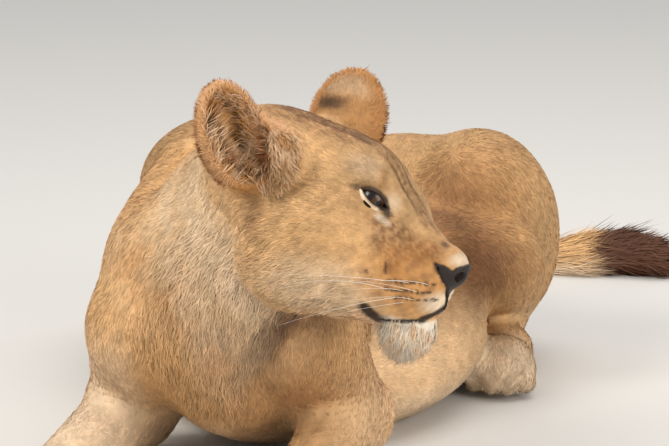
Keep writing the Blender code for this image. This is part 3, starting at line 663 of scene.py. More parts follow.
def mark_and_shade_body(coat, points, normals, body):
    """The body's markings and painted shade: back and neck, throat and arm, then hindquarters,
    feet and tail.
    """
    x, y, z = points.T
    up = normals[:, 2]
    coat.over(points)
    coat.lay(0.50 * smooth(0.2, 0.9, up) * smooth(0.22, 0.34, z) * body, BACK)
    coat.lay(0.60 * smooth(0.12, 0.02, z) * smooth(0.0, -0.7, up) * body, CREAM)
    neck = (0.85 + 0.25 * wander(points, 0.03, 16)) * smooth(0.07, -0.03, neck_side(points))
    coat.spot(0.80 * neck * smooth(0.95, 0.3, up), (-0.02, -0.01, 0.41), (0.13, 0.14, 0.11), 0.9,
              GREY)
    coat.spot(0.75 * body * smooth(0.5, -0.3, normals[:, 1]), (0.055, -0.06, 0.27),
              (0.085, 0.12, 0.12), 0.6, 0.65 * CREAM + 0.35 * TAWNY)
    coat.stroke(0.35, [(0.02, -0.055, 0.33), (0.05, -0.075, 0.25)], 0.05, 0.9, TAWNY * 0.8)
    coat.stroke(0.30 * smooth(-0.6, 0.6, wander(points, 0.03, 11)) * body,
                [(-0.10, 0.02, 0.33), (-0.03, -0.04, 0.26), (0.02, -0.04, 0.20)], 0.07, 0.8, ORANGE)
    # the left shoulder and arm: partly their own tan coat, partly painted shade under the jaw
    arm = beyond_crease(points) * smooth(0.38, 0.10, y) * smooth(0.25, 0.17, x) * body
    coat.lay(0.75 * arm, 0.62 * TAWNY + 0.38 * BROWN)
    # painted shade: a dark stroke down the crease between throat and left shoulder, and one under
    # the jaw
    coat.stroke(0.90 * body, [(0.124, -0.060, 0.285), (0.034, -0.010, 0.160)], 0.040, 0.7,
                BROWN * 0.6)
    coat.stroke(0.45 * body, [(0.120, -0.045, 0.268), (0.200, 0.010, 0.266)], 0.045, 0.8,
                BROWN * 0.7)
    coat.lay(0.35 * smooth(-0.02, -0.18, y) * body, CREAM)
    coat.over(np.stack([np.abs(x), y, z], 1))
    coat.spot(0.6, (0.283, 0.68, 0.03), (0.07, 0.11, 0.06), 0.5, CREAM * 0.85)
    # partly the hip's own deeper colour, partly painted shade over the top of the thigh
    coat.spot(0.65, (0.215, 0.67, 0.26), (0.085, 0.14, 0.10), 0.6, BROWN * 0.55 + ORANGE * 0.45)
    # painted shade in the hollow of the flank between hip and belly
    coat.spot(0.85 * smooth(0.98, 0.4, up) * smooth(0.10, 0.20, z) * body, (0.20, 0.52, 0.20),
              (0.14, 0.26, 0.16), 0.6, 0.42 * BROWN + 0.20 * ORANGE)
    coat.spot(0.38 * body, (0.20, 0.36, 0.06), (0.14, 0.30, 0.11), 0.6,
              0.60 * CREAM + 0.40 * TAWNY)
    # painted shade in the fold of the flank before the thigh
    coat.stroke(0.70, [(0.16, 0.72, 0.355), (0.20, 0.66, 0.30), (0.25, 0.62, 0.20)], 0.10, 0.9,
                BROWN * 0.9)
    coat.lay(0.65 * smooth(-0.09, -0.14, x) * smooth(0.26, 0.14, z) * smooth(0.22, 0.05, y), CREAM)
    # brown over the rear of the haunches and the tail's root: partly their own colour, partly
    # painted shade
    coat.lay(0.55 * smooth(0.93, 1.02, y) * smooth(1.3, 1.1, y) * smooth(0.32, 0.25, z), BROWN)
    coat.lay(0.65 * smooth(1.20, 1.32, y) * smooth(0.3, -0.6, up), CREAM)
    coat.lay(smooth(0.205, 0.245, x + 0.006 * wander(points, 0.02, 12)) * (y > 1.3), TUFT)


# each row of whisker spots: its level in the middle, how far forward it starts and ends, how many
WHISKER_ROWS = ((-0.067, 0.119, 0.168, 8), (-0.0785, 0.117, 0.166, 9), (-0.089, 0.128, 0.170, 7))
ROW_MIDDLE = 0.14
ROW_CLIMB = 0.10
# the lips from under the nose back to the corner, in the same numbers as the head's markings
LIP_LINE = [(0.176, 0.004, -0.101), (0.168, 0.013, -0.111), (0.156, 0.024, -0.118),
            (0.141, 0.037, -0.122), (0.124, 0.045, -0.126),
            (0.107, 0.053, -0.126), (0.098, 0.059, -0.120), (0.090, 0.065, -0.112)]


def row_level(up, forward):
    """The rows of whiskers climb a little towards the nose."""
    return up + ROW_CLIMB * (forward - ROW_MIDDLE)


def lip_share(q):
    """1 on the bare dark lips: a line under the whisker pads, broad at the corner and in front."""
    lip = stroke(q, LIP_LINE, 0.0060, 0.35)
    corner = stroke(q, LIP_LINE[-4:], 0.0170, 0.35) * smooth(0.130, 0.104, q[:, 0])
    return np.maximum(np.maximum(lip, corner), stroke(q, LIP_LINE[:3], 0.0120, 0.35))


# the dark ridge from the crown down the forehead to the bridge of the nose
CROWN = [(-0.09, 0, 0.097), (-0.015, 0, 0.095), (0.026, 0, 0.089), (0.051, 0, 0.079),
         (0.073, 0, 0.064), (0.091, 0, 0.041), (0.110, 0, 0.024), (0.135, 0, 0.006)]
# thin lines each side of the ridge: painted shade along the edges of the forehead's middle furrow
CROWN_GROOVE_SHADE = np.array(CROWN) + (0, 0.0135, -0.001)


def mark_and_shade_head(coat, q, normals, head):
    """The head's markings and painted shade; q is forward, to either side and up from the head's
    middle.
    """
    coat.over(q, head)
    coat.lay(0.25 * smooth(0.3, 0.9, normals @ HEAD[2]), BACK)
    coat.stroke(0.45 + 0.30 * wander(q, 0.004, 13), CROWN, 0.034, 0.35, BROWN)
    coat.stroke(0.55 + 0.25 * wander(q, 0.006, 20), CROWN[:2], 0.080, 0.5, BROWN)
    # painted shade along the forehead's furrow
    coat.stroke(0.65 * smooth(0.145, 0.10, q[:, 0]), CROWN_GROOVE_SHADE, 0.0045, 0.6, 0.5 * (BROWN + DARK))
    coat.spot(0.45, (0.030, 0.07, -0.10), (0.075, 0.06, 0.045), 0.6, CREAM)
    coat.spot(0.25, (0.050, 0.048, 0.066), (0.030, 0.022, 0.016), 0.7, CREAM)
    coat.stroke(0.60, [(0.067, 0.032, 0.062), (0.071, 0.039, 0.055), (0.074, 0.046, 0.047)],
                0.010, 0.7, ORANGE * 0.66)
    mottle = 0.95 + 0.40 * wander(q, 0.0040, 14)
    dusk = stroke(q, [(0.087, 0.062, 0.001), (0.105, 0.058, -0.007), (0.121, 0.049, -0.014),
                      (0.131, 0.048, -0.027), (0.152, 0.030, -0.026)], 0.034, 0.8)
    dusk = np.maximum(dusk, stroke(q, [(0.098, 0.070, -0.020), (0.115, 0.061, -0.032),
                                       (0.118, 0.064, -0.048)], 0.030, 0.7))
    coat.lay(0.95 * dusk * mottle * (0.85 + 0.35 * wander(q, 0.0022, 15)), BROWN * 0.85)
    # painted shade under the brow, above the eye
    coat.stroke(0.40, [(0.050, 0.066, 0.043), (0.060, 0.060, 0.047), (0.072, 0.051, 0.045)],
                0.012, 0.6, BROWN)
    coat.spot(0.30 * mottle, (0.04, 0.07, -0.01), (0.07, 0.05, 0.06), 0.7, BACK)
    flecks = 0.10 * wander(q, 0.0032, 17) + 0.06 * wander(q, 0.010, 18)
    coat.colour = coat.colour * (1.0 + head * flecks)[:, None]
    coat.stroke(0.55, [(0.080, 0.060, 0.010), (0.096, 0.056, 0.001)], 0.009, 0.6, CREAM)
    coat.spot(0.45, (0.093, 0.046, 0.028), (0.010, 0.013, 0.013), 0.8, CREAM)
    tear = stroke(q, [(0.082, 0.053, 0.022), (0.088, 0.052, 0.018), (0.093, 0.053, 0.013)], 0.010)
    tear = np.maximum(tear, 0.7 * stroke(q, [(0.048, 0.065, 0.039), (0.041, 0.069, 0.042)], 0.008))
    coat.lay(0.85 * tear, DARK)
    muzzle = spot(q, (0.118, 0, -0.065), (0.075, 0.09, 0.052), 0.4)
    coat.lay(0.70 * muzzle, ORANGE * 0.92)
    streaks = smooth(-0.2, 0.6, wander(q * (0.4, 0.4, 1.0), 0.0042, 19))
    coat.lay(0.45 * muzzle * streaks, BROWN)
    coat.spot(0.80, (0.172, 0.018, -0.092), (0.020, 0.03, 0.015), 0.6, CREAM)
    coat.spot(0.70, (0.187, 0, -0.030), (0.013, 0.030, 0.008), 0.5, CREAM)
    coat.spot(0.70, (0.163, 0.010, -0.013), (0.007, 0.007, 0.007), 0.6, DARK)
    low = smooth(-0.117, -0.124, q[:, 2]) * smooth(0.060, 0.090, q[:, 0])
    coat.lay(low, ORANGE * 0.5 + CREAM * 0.5)
    coat.lay(low * smooth(0.104, 0.118, q[:, 0]), WHITE)
    aside = q[:, 1] > 0.012
    for up, back, front, count in WHISKER_ROWS:
        for forward in np.linspace(back, front, count):
            away = np.hypot((q[:, 0] - forward) / 1.1, q[:, 2] - row_level(up, forward))
            coat.lay(0.90 * aside * smooth(0.0030, 0.0015, away), DARK)
    upright = stroke(q[:, [0, 2]], [(0.110, -0.048), (0.111, -0.058)], 0.0042, 0.4)
    coat.lay(0.8 * aside * upright, DARK)
    away = np.hypot(q[:, 0] - 0.089, q[:, 2] + 0.062)
    coat.lay(0.6 * aside * smooth(0.004, 0.002, away), DARK)
    coat.lay(0.97 * lip_share(q), DARK)
    coat.lay(smooth(0.0015, 0.0, leather_edge(q)), 0.5 * DARK)
    # painted shade below the ear, behind the cheek
    coat.spot(0.50, (-0.078, 0.093, -0.020), (0.020, 0.03, 0.035), 0.7, BROWN)


def mark_and_shade_ears(coat, points):
    """Rufous ears with a dark patch low on the back, painted shade within the cup, darkest at its
    root, and painted shade over the whole of her left ear, the far one.
    """
    for word, (_, centre, tip_way, open_way) in EARS.items():
        away = 1.0 if word == "left" else -1.0
        e = (points - in_head(*centre)) @ ear_axes(tip_way, open_way).T
        coat.over(e, spot(e, (0, 0, 0), (0.086, 0.066, 0.050), 0.15))
        # her left ear, the far one, painted darker than her right: painted shade
        coat.lay(0.70, ORANGE * (0.50 if word == "left" else 0.74))
        # painted shade within the cup
        coat.spot(0.75 * smooth(-0.004, 0.004, e[:, 2]), (0, 0, 0), (0.054, 0.038, 0.06), 0.3,
                  0.45 * BROWN + 0.35 * ORANGE)
        # painted shade in the hollow at the cup's root
        coat.spot(0.90, (-0.026, 0, 0.0), (0.028, 0.021, 0.024), 0.6, DARK)
        back = smooth(-0.004, -0.012, e[:, 2])
        coat.lay(0.25 * back * smooth(0.020, 0.040, e[:, 0]), CREAM * 0.8)
        coat.spot(0.85 * back * smooth(-0.030, 0.020, away * e[:, 1]), (0.016, away * 0.012, -0.02),
                  (0.010, 0.034, 0.04), 0.6, DARK)


def settle(points, q, head):
    """How much lighter or darker each place is: forehead, bridge and muzzle deeper, painted shade
    over the hindquarters, and fine flecks and soft patches everywhere."""
    share = 1.0 - head * (0.10 + 0.27 * smooth(-0.03, 0.05, q[:, 2]) * smooth(-0.02, 0.04, q[:, 0])
                          + 0.12 * smooth(0.08, 0.12, q[:, 0]))
    # painted shade: the hindquarters a little darker
    hind_shade = smooth(0.42, 0.60, points[:, 1]) * smooth(1.2, 1.1, points[:, 1])
    share = share * (1.0 - 0.14 * (1.0 - head) * hind_shade)
    share = share * (1.0 + 0.09 * wander(points, 0.010, 41) + 0.06 * wander(points, 0.035, 42)
                     + 0.07 * wander(points, 0.0045, 43))
    return share


def coat_colour(points, normals):
    """The colour of the hair rooted at each point: tawny, with markings and painted shade laid over
    one by one.
    """
    q = to_head(points)
    q[:, 1] = np.abs(q[:, 1])
    head = on_head_share(points)
    coat = Coat(all_of(TAWNY, points))
    mark_and_shade_body(coat, points, normals, 1.0 - head)
    mark_and_shade_head(coat, q, normals, head)
    mark_and_shade_ears(coat, points)
    return np.clip(coat.colour * settle(points, q, head)[:, None], 0.0, 1.0)


def toward(size, mask, value):
    """A size brought to another where the mask says."""
    return size * (1 - mask) + value * mask


def hair_length(points):
    """How long the hair is: a base length by region, with longer and shorter places laid over."""
    _, y, z = points.T
    q = to_head(points)
    head = on_head_share(points)
    body = 1.0 - head
    size = np.full(len(points), 0.0105)
    calm = 1.0 - beyond_crease(points)
    size += 0.002 * (spot(points, (0.03, 0.02, 0.34), (0.18, 0.19, 0.20), 0.5) * body) * calm
    size += 0.006 * (spot(points, (0.05, -0.05, 0.25), (0.13, 0.16, 0.16), 0.5) * body) * calm
    size = toward(size, smooth(0.05, -0.12, y) * smooth(0.16, 0.08, z) * body, 0.0070)
    size = toward(size, head, 0.0090)
    face = head * smooth(-0.02, 0.09, q[:, 0]) * smooth(-0.125, -0.11, q[:, 2])
    size = toward(size, face, 0.0042)
    size = toward(size, head * smooth(0.09, 0.12, q[:, 0]), 0.0028)
    size += 0.007 * (head * smooth(0.03, -0.06, q[:, 0]) * smooth(0.02, -0.08, q[:, 2]))
    q[:, 1] = np.abs(q[:, 1])
    return toward(size, head * lip_share(q), 0.0016)


# ---------------------------------------------------------------- meshes
def new_mesh(name, points, faces, colours=None):
    """An object from whole arrays of points and equal-sided faces, in the model's frame."""
    mesh = bpy.data.meshes.new(name)
    faces = np.asarray(faces, np.int32)
    sides = faces.shape[1]
    mesh.vertices.add(len(points))
    mesh.vertices.foreach_set("co", (points + ROOT).astype(np.float32).ravel())
    mesh.loops.add(faces.size)
    mesh.loops.foreach_set("vertex_index", faces.ravel())
    mesh.polygons.add(len(faces))
    mesh.polygons.foreach_set("loop_start", np.arange(0, faces.size, sides, dtype=np.int32))
    mesh.polygons.foreach_set("use_smooth", np.ones(len(faces), bool))
    mesh.update(calc_edges=True)
    if colours is not None:
        layer = mesh.attributes.new("coat", "FLOAT_COLOR", "POINT")
        rgba = np.ones((len(points), 4), np.float32)
        rgba[:, :3] = colours
        layer.data.foreach_set("color", rgba.ravel())
    made = bpy.data.objects.new(name, mesh)
    bpy.context.scene.collection.objects.link(made)
    return made


def ring_faces(rings, around):
    """Four-cornered faces between rings of points, each ring closed on itself."""
    ring = np.arange(rings - 1)[:, None] * around
    k = np.arange(around)[None, :]
    nxt = (k + 1) % around
    faces = [ring + k, ring + around + k, ring + around + nxt, ring + nxt]
    return np.stack(faces, -1).reshape(-1, 4)


def own_unwrap(made):
    """The skin cut into flat charts by the way it faces; returns the map's place at each corner."""
    bpy.ops.object.select_all(action="DESELECT")
    bpy.context.view_layer.objects.active = made
    made.select_set(True)
    made.data.uv_layers.new(name="OFBake")
    bpy.ops.object.mode_set(mode="EDIT")
    bpy.ops.mesh.select_all(action="SELECT")
    bpy.ops.uv.smart_project(angle_limit=radians(66.0), island_margin=0.001)
    bpy.ops.object.mode_set(mode="OBJECT")
    uv = np.zeros(len(made.data.loops) * 2, np.float32)
    made.data.uv_layers["OFBake"].data.foreach_get("uv", uv)
    return uv.reshape(-1, 2)


# ---------------------------------------------------------------- materials
FLECK_SCALE = 60.0           # size of the coat's lighter and darker places, and how strong
FLECK_DEPTH = 0.36


class Wire:
    """One node output; arithmetic on it adds Math nodes to its sheet."""

    def __init__(self, sheet, socket):
        self.sheet = sheet
        self.socket = socket

    def maths(self, operation, other):
        return self.sheet.node("ShaderNodeMath", {"operation": operation}, self, other)

    def __add__(self, other):
        return self.maths("ADD", other)

    def __mul__(self, other):
        return self.maths("MULTIPLY", other)

    __radd__ = __add__
    __rmul__ = __mul__


class Sheet:
    """A material and the one way nodes are added to it."""

    def __init__(self, name):
        self.material = bpy.data.materials.new(name)
        self.material.use_nodes = True
        self.tree = self.material.node_tree
        self.shader = self.tree.nodes["Principled BSDF"]

    def put(self, socket, value):
        if isinstance(value, Wire):
            self.tree.links.new(value.socket, socket)
        else:
            socket.default_value = value

    def node(self, kind, settings, *values, out=0, **named):
        """A node: its settings first, then its sockets in order or by name; gives one output."""
        made = self.tree.nodes.new(kind)
        for key, value in settings.items():
            setattr(made, key, value)
        for socket, value in zip(made.inputs, values):
            self.put(socket, value)
        for key, value in named.items():
            self.put(made.inputs[key.replace("_", " ")], value)
        return Wire(self, made.outputs[out])

    def noise(self, scale, detail):
        place = self.node("ShaderNodeTexCoord", {}, out=3)
        return self.node("ShaderNodeTexNoise", {}, Vector=place, Scale=scale, Detail=detail)

    def coat(self):
        """The colour held by the mesh."""
        return self.node("ShaderNodeAttribute", {"attribute_name": "coat"})

    def flecked(self, base):
        """The mesh's colour times depth x noise + base: lighter and darker from place to place."""
        fleck = self.noise(FLECK_SCALE, 3.0) * FLECK_DEPTH + base
        fleck = self.node("ShaderNodeCombineXYZ", {}, fleck, fleck, fleck)
        return self.node("ShaderNodeVectorMath", {"operation": "MULTIPLY"}, self.coat(), fleck)

    def relief(self, scale, detail, strength, distance):
        """Fine bumps: noise as the height of a Bump node."""
        return self.node("ShaderNodeBump", {}, Strength=strength, Distance=distance,
                         Height=self.noise(scale, detail))

    def finish(self, **sockets):
        for key, value in sockets.items():
            self.put(self.shader.inputs[key.replace("_", " ")], value)
        return self.material


def coat_material():
    """Hair: its own colour, a little lighter and darker from place to place, dull."""
    sheet = Sheet("coat_hair")
    return sheet.finish(Base_Color=sheet.flecked(0.82), Roughness=0.62, Specular_IOR_Level=0.25)


def skin_material():
    """Skin under the hair: the same markings with fine relief of short flat hair."""
    sheet = Sheet("coat_skin")
    return sheet.finish(Base_Color=sheet.flecked(0.74), Roughness=0.7, Specular_IOR_Level=0.2,
                        Normal=sheet.relief(700.0, 3.0, 0.5, 0.0008))


def plain(name, colour, roughness):
    """A finish of one colour."""
    return Sheet(name).finish(Base_Color=(*colour, 1.0), Roughness=roughness)


# ---------------------------------------------------------------- the lids
def eye_axes(side):
    """Rows: from the lids' outer corner to the inner, up across the eye, and out of it."""
    along = head_way(0.041, -side * 0.017, -0.023)
    gaze = head_way(0.46, side * 0.86, 0.24)
    gaze = unit(gaze - along * (gaze @ along))
    return np.array([along, -side * np.cross(gaze, along), gaze])


def face_height(clay, side, a, b):
    """How far out from the eye's middle the face stands, at places beside it."""
    axes = eye_axes(side)
    high = np.linspace(0.045, -0.015, 61)
    place = eye_place(side) + a[:, None] * axes[0] + b[:, None] * axes[1]
    ways = place[:, None, :] + high[None, :, None] * axes[2]
    value = clay.outside_at(ways.reshape(-1, 3)).reshape(len(a), -1)
    k = np.maximum(np.argmax(value < 0.0, 1), 1)
    row = np.arange(len(a))
    inner, outer = value[row, k], value[row, k - 1]
    return high[k] + (high[k - 1] - high[k]) * np.clip(-inner / (outer - inner), 0.0, 1.0)


LID_OUT = np.array([-0.0020, 0.0, 0.0006, 0.0014, 0.0026, 0.0040, 0.0050, 0.0062, 0.0080, 0.0102,
                    0.0128, 0.0155])
LID_TURNS = 96
LID_SUNK = 0.0008                       # how far the lids' outer part lies under the face
LID_LENGTH = (0.0022, 0.0042)           # hair at the lids' edge and away from it
EYE_OPEN = (0.0165, 0.0064, 0.0056)     # half the opening's width, and its height up and down


def make_lids(clay, side):
    """Rings of points from the opening's edge out over the ball and down to the face: an almond
    outline, rounded lip, a fold above, with a dark rim, painted shade over the upper lid and a pale
    streak below."""
    turn = np.linspace(0.0, 2.0 * pi, LID_TURNS, endpoint=False)[None, :]
    half, above, below = EYE_OPEN
    rise = np.sin(turn)
    a = half * np.cos(turn) + 0.0045 * smooth(0.80, 1.0, np.cos(turn)) + 0.003 * rise * rise
    b = np.where(rise > 0, above, below) * np.sign(rise) * np.abs(rise) ** 1.5
    away = np.stack([0.45 * a, b], -1)
    away = away / np.linalg.norm(away, axis=-1, keepdims=True)
    far = LID_OUT[:, None]
    a = a + away[..., 0] * far
    b = b + away[..., 1] * far
    face = face_height(clay, side, a.ravel(), b.ravel()).reshape(a.shape)
    ball_height = np.sqrt(np.maximum(EYE_RADIUS ** 2 - a * a - b * b, 0.0))
    ball_height = np.maximum(ball_height, face - 0.006)
    lip = np.interp(far, [-0.0020, 0.0, 0.0006, 0.0014, 0.0026],
                    [-0.0030, 0.0002, 0.0014, 0.0022, 0.0025])
    onto = smooth(0.0018, 0.0105, far)
    high = (1.0 - onto) * (ball_height + lip) + onto * (face - LID_SUNK)
    high = high - 0.0016 * np.exp(-((far - 0.0050) / 0.0012) ** 2) * smooth(0.1, 0.6, rise)
    high = high - np.where(far > 0.015, 0.0030, np.where(far > 0.012, 0.0010, 0.0))
    axes = eye_axes(side)
    points = eye_place(side) + np.stack([a, b, high], -1).reshape(-1, 3) @ axes
    faces = ring_faces(len(LID_OUT), LID_TURNS)
    if side > 0:
        faces = faces[:, ::-1]
    a_to_c = points[faces[:, 2]] - points[faces[:, 0]]
    across = np.cross(a_to_c, points[faces[:, 3]] - points[faces[:, 1]])
    out = np.zeros_like(points)
    for corner in faces.T:
        np.add.at(out, corner, across)
    out = unit(out)
    if (out @ axes[2]).mean() < 0:
        faces, out = faces[:, ::-1], -out
    outward = away[..., :1] * axes[0] + away[..., 1:] * axes[1]
    outward = np.broadcast_to(outward, a.shape + (3,)).reshape(-1, 3)
    far = np.broadcast_to(far, a.shape).ravel()
    lower = smooth(-0.1, -0.4, rise) * smooth(0.75, 0.3, np.cos(turn))
    lower = np.broadcast_to(lower, a.shape).ravel()
    dark = smooth(0.0032, 0.0020, far)
    # painted shade from the brow over the upper lid, beside the lids' own dark rim
    dark = np.maximum(dark, 0.90 * (1 - lower) * smooth(0.0090, 0.0040, far))
    pale = lower * smooth(0.0030, 0.0016, np.abs(far - 0.0048))
    short, long = LID_LENGTH
    lids = SimpleNamespace(points=points, out=out, lie=unit(-0.9 * axes[0] + 0.6 * outward),
                           size=short + (long - short) * smooth(0.003, 0.010, far),
                           bare=far < 0.0022, ears=np.zeros(len(points)), dark=dark, pale=pale)
    return lids, faces


def clear_eye(points, side):
    """Skin behind an eye's opening drawn in, so that ball and lids stand free of it."""
    axes = eye_axes(side)
    q = (points - eye_place(side)) @ axes.T
    near = ((q[:, 0] - 0.002) / 0.0235) ** 2 + (q[:, 1] / 0.0150) ** 2 < 1.0
    near = near & (q[:, 2] > -0.010) & (q[:, 2] < 0.040)
    room = np.sqrt(np.maximum(EYE_RADIUS ** 2 - q[:, 0] ** 2 - q[:, 1] ** 2, 0.0)) - 0.004
    q[near, 2] = np.minimum(q[near, 2], room[near])
    return np.where(near[:, None], eye_place(side) + q @ axes, points), near


# ---------------------------------------------------------------- the skin
# Levels ahead of the neck's joint: the head's clay ends at the first and its points behind the
# second are held still; each skin dives under the other over a stretch, and its hair stops.
HEAD_END = -0.030
HEAD_RIM = -0.0285
BODY_DIVES = (-0.020, -0.010)
HEAD_DIVES = (-0.014, -0.026)
BODY_BARE = -0.011
HEAD_BARE = -0.0205
NECK_NEAR = 0.26             # only the body's skin this near the joint dives
BODY_DIVE = 0.0025           # how deep the body's skin dives, and the head's
HEAD_DIVE = 0.0055
COAT_DEPTH = 0.20            # thickness of hair laid flat, as a share of its length
EAR_DEPTH = 0.0010
LEATHER_DEPTH = 0.0040       # how deep the skin lies under the nose leather


def make_skin():
    """Body and head skins and the lids joined in one piece, sunk by the coat's depth.  Returns
    the skin, with what it holds at each point, and the head's clay."""
    body = body_clay()
    head = head_clay()
    head.outside = np.maximum(head.outside, HEAD_END - neck_side(grid(head.axes)))
    points, faces, out, _ = body.skin()
    head_points, head_faces, head_out, held = head.skin(HEAD_RIM)
    head_out[held] = -NECK_WAY
    lie = np.concatenate([body.lie_at(points), head.lie_at(head_points)])
    faces = np.concatenate([faces, head_faces + len(points)])
    on_body = np.arange(len(lie)) < len(points)
    on_head = ~on_body
    points = np.concatenate([points, head_points])
    out = np.concatenate([out, head_out])
    ahead = neck_side(points)
    near_neck = on_body & (np.linalg.norm(points - NECK_CUT, axis=1) < NECK_NEAR)
    size = hair_length(points)
    depth = COAT_DEPTH * size + BODY_DIVE * near_neck * smooth(*BODY_DIVES, ahead)
    depth = depth + HEAD_DIVE * on_head * smooth(*HEAD_DIVES, ahead)
    low = (points[:, 2] < 0.004) & (out[:, 2] < -0.5)
    depth = np.where(low, 0.0, depth)
    ears = np.zeros(len(points))
    for _, centre, _, _ in EARS.values():
        ears = np.maximum(ears, spot(points, in_head(*centre), (0.075, 0.075, 0.075), 0.3))
    depth = np.where(on_body, depth, depth * (1 - ears) + EAR_DEPTH * ears)
    leather = leather_edge(to_head(points))
    depth = depth + LEATHER_DEPTH * smooth(0.0, -0.003, leather) * on_head
    spoke = points - NECK_CUT
    spoke = unit(spoke - (spoke @ NECK_WAY)[:, None] * NECK_WAY)
    rim = on_head & (ahead < HEAD_RIM)
    points = points - depth[:, None] * np.where(rim[:, None], spoke, out)
    points[:, 2] = np.maximum(points[:, 2], FLOOR_LEVEL)
    bare = low | (near_neck & (ahead > BODY_BARE)) | (on_head & (ahead < HEAD_BARE))
    bare = bare | (on_head & (leather < 0.0015))
    # painted shade: the skin drawn in behind each eye's opening is coloured dark, as the inside of
    # the socket
    dark = np.zeros(len(points))
    for side in (-1, 1):
        points, near = clear_eye(points, side)
        bare = bare | near
        dark = np.maximum(dark, near)
    skin = SimpleNamespace(points=points, out=out, lie=lie, size=size, bare=bare, ears=ears,
                           dark=dark, pale=np.zeros(len(points)))
    for side in (-1, 1):
        lids, shape = make_lids(head, side)
        faces = np.concatenate([faces, shape + len(skin.points)])
        for name, values in vars(lids).items():
            setattr(skin, name, np.concatenate([getattr(skin, name), values]))
    skin.faces = faces
    return skin, head


# ---------------------------------------------------------------- the coat
def scatter(points, faces, weight, count):
    """Roots spread over the faces: as many on each as its area times its weight asks, even along
    the running total; returns the face's corners and three shares for each root."""
    triangles = np.concatenate([faces[:, [0, 1, 2]], faces[:, [0, 2, 3]]])
    loops = np.arange(len(faces) * 4).reshape(-1, 4)
    corner = np.concatenate([loops[:, [0, 1, 2]], loops[:, [0, 2, 3]]])
    a, b, c = (points[triangles[:, i]] for i in range(3))
    area = 0.5 * np.linalg.norm(np.cross(b - a, c - a), axis=1)
    share = area * weight[triangles].mean(1)
    order = np.lexsort((b[:, 2] // 0.02, b[:, 1] // 0.02))
    total = np.cumsum(share[order])
    at = (np.arange(count) + rng.random(count)) * total[-1] / count
    pick = order[np.searchsorted(total, at).clip(0, len(order) - 1)]
    u, v = rng.random(count), rng.random(count)
    over = u + v > 1.0
    u, v = np.where(over, 1.0 - u, u), np.where(over, 1.0 - v, v)
    return triangles[pick], corner[pick], np.stack([1.0 - u - v, u, v], 1)


MAP_HALF = 0.0015            # half the size of a tuft's patch on the map


def tufts(name, root, out, lie, size, width, lift, colour, place, bends=1, bow=0.12):
    """A piece of many tufts.  Each is a thin pointed blade rooted just under the skin: it runs
    along the lie, its height is size x lift x (2.2 t - 1.2 t^2), it bows to one side by t^2, and
    its width swells from the root and ends in a point.  t goes from 0 to 1 in bends + 1 steps."""
    count = len(root)
    across = unit(np.cross(out + rng.normal(0.0, 0.05, (count, 3)), lie))
    roll = rng.normal(0.0, 0.30, count)[:, None]
    flat = unit(across * np.cos(roll) + out * np.sin(roll))
    side_bow = rng.normal(0.0, bow, count)[:, None]
    points = []
    normals = []
    shades = []
    spots = []
    for t in np.linspace(0.0, 1.0, bends + 2):
        half = 0.31 + 0.76 * t * (1.0 - t)
        middle = (root - 0.0004 * out + lie * (size * t)[:, None]
                  + out * (size * lift * (2.2 * t - 1.2 * t * t))[:, None]
                  + across * side_bow * (size * t * t)[:, None])
        for way in (-1, 1) if t < 1.0 else (0,):
            lean = 0.20 if way else 0.25
            points.append(middle + flat * (way * half * width)[:, None])
            normals.append(unit(out + way * 0.32 * flat + lean * lie))
            shades.append(colour * (0.88 + 0.15 * min(1.0, 1.4 * t)))
            spots.append(place + np.array([way, 2.0 * t - 1.0]) * MAP_HALF)
    each = len(points)
    points = np.stack(points, 1).reshape(-1, 3)
    points[:, 2] = np.maximum(points[:, 2], FLOOR_LEVEL - 0.0002)
    shape = []
    for a in range(0, 2 * bends, 2):
        shape += [[a, a + 3, a + 1], [a, a + 2, a + 3]]
    shape += [[each - 3, each - 1, each - 2]]
    faces = (np.arange(count)[:, None, None] * each + np.array(shape)[None]).reshape(-1, 3)
    made = new_mesh(name, points, faces, np.stack(shades, 1).reshape(-1, 3))
    spots = np.stack(spots, 1).reshape(-1, 2)
    layer = made.data.uv_layers.new(name="OFBake")
    layer.data.foreach_set("uv", spots[faces.ravel()].astype(np.float32).ravel())
    normals = np.stack(normals, 1).reshape(-1, 3)
    made.data.normals_split_custom_set_from_vertices(normals)
    return made


def rooted(skin, weight, count):
    """Roots over the skin, each with the way out, the lie in the skin's own plane, the map's place
    and the corners of its face."""
    tri, corner, share = scatter(skin.points, skin.faces, weight, count)
    share = share[:, :, None]
    root = (skin.points[tri] * share).sum(1)
    normal = unit((skin.out[tri] * share).sum(1))
    way = (skin.lie[tri] * share).sum(1)
    way = unit(way - normal * (way * normal).sum(1)[:, None])
    return root, normal, way, (skin.uv[corner] * share).sum(1), tri


COAT_ROOTS = 415000
COAT_PIECES = 8


def marked_and_shaded(colour, pale, dark):
    """A colour with the lids' pale streak and dark rim over it, and the painted shade over the
    upper lids and inside the eye sockets.
    """
    return paint(paint(colour, pale, CREAM), dark, DARK)


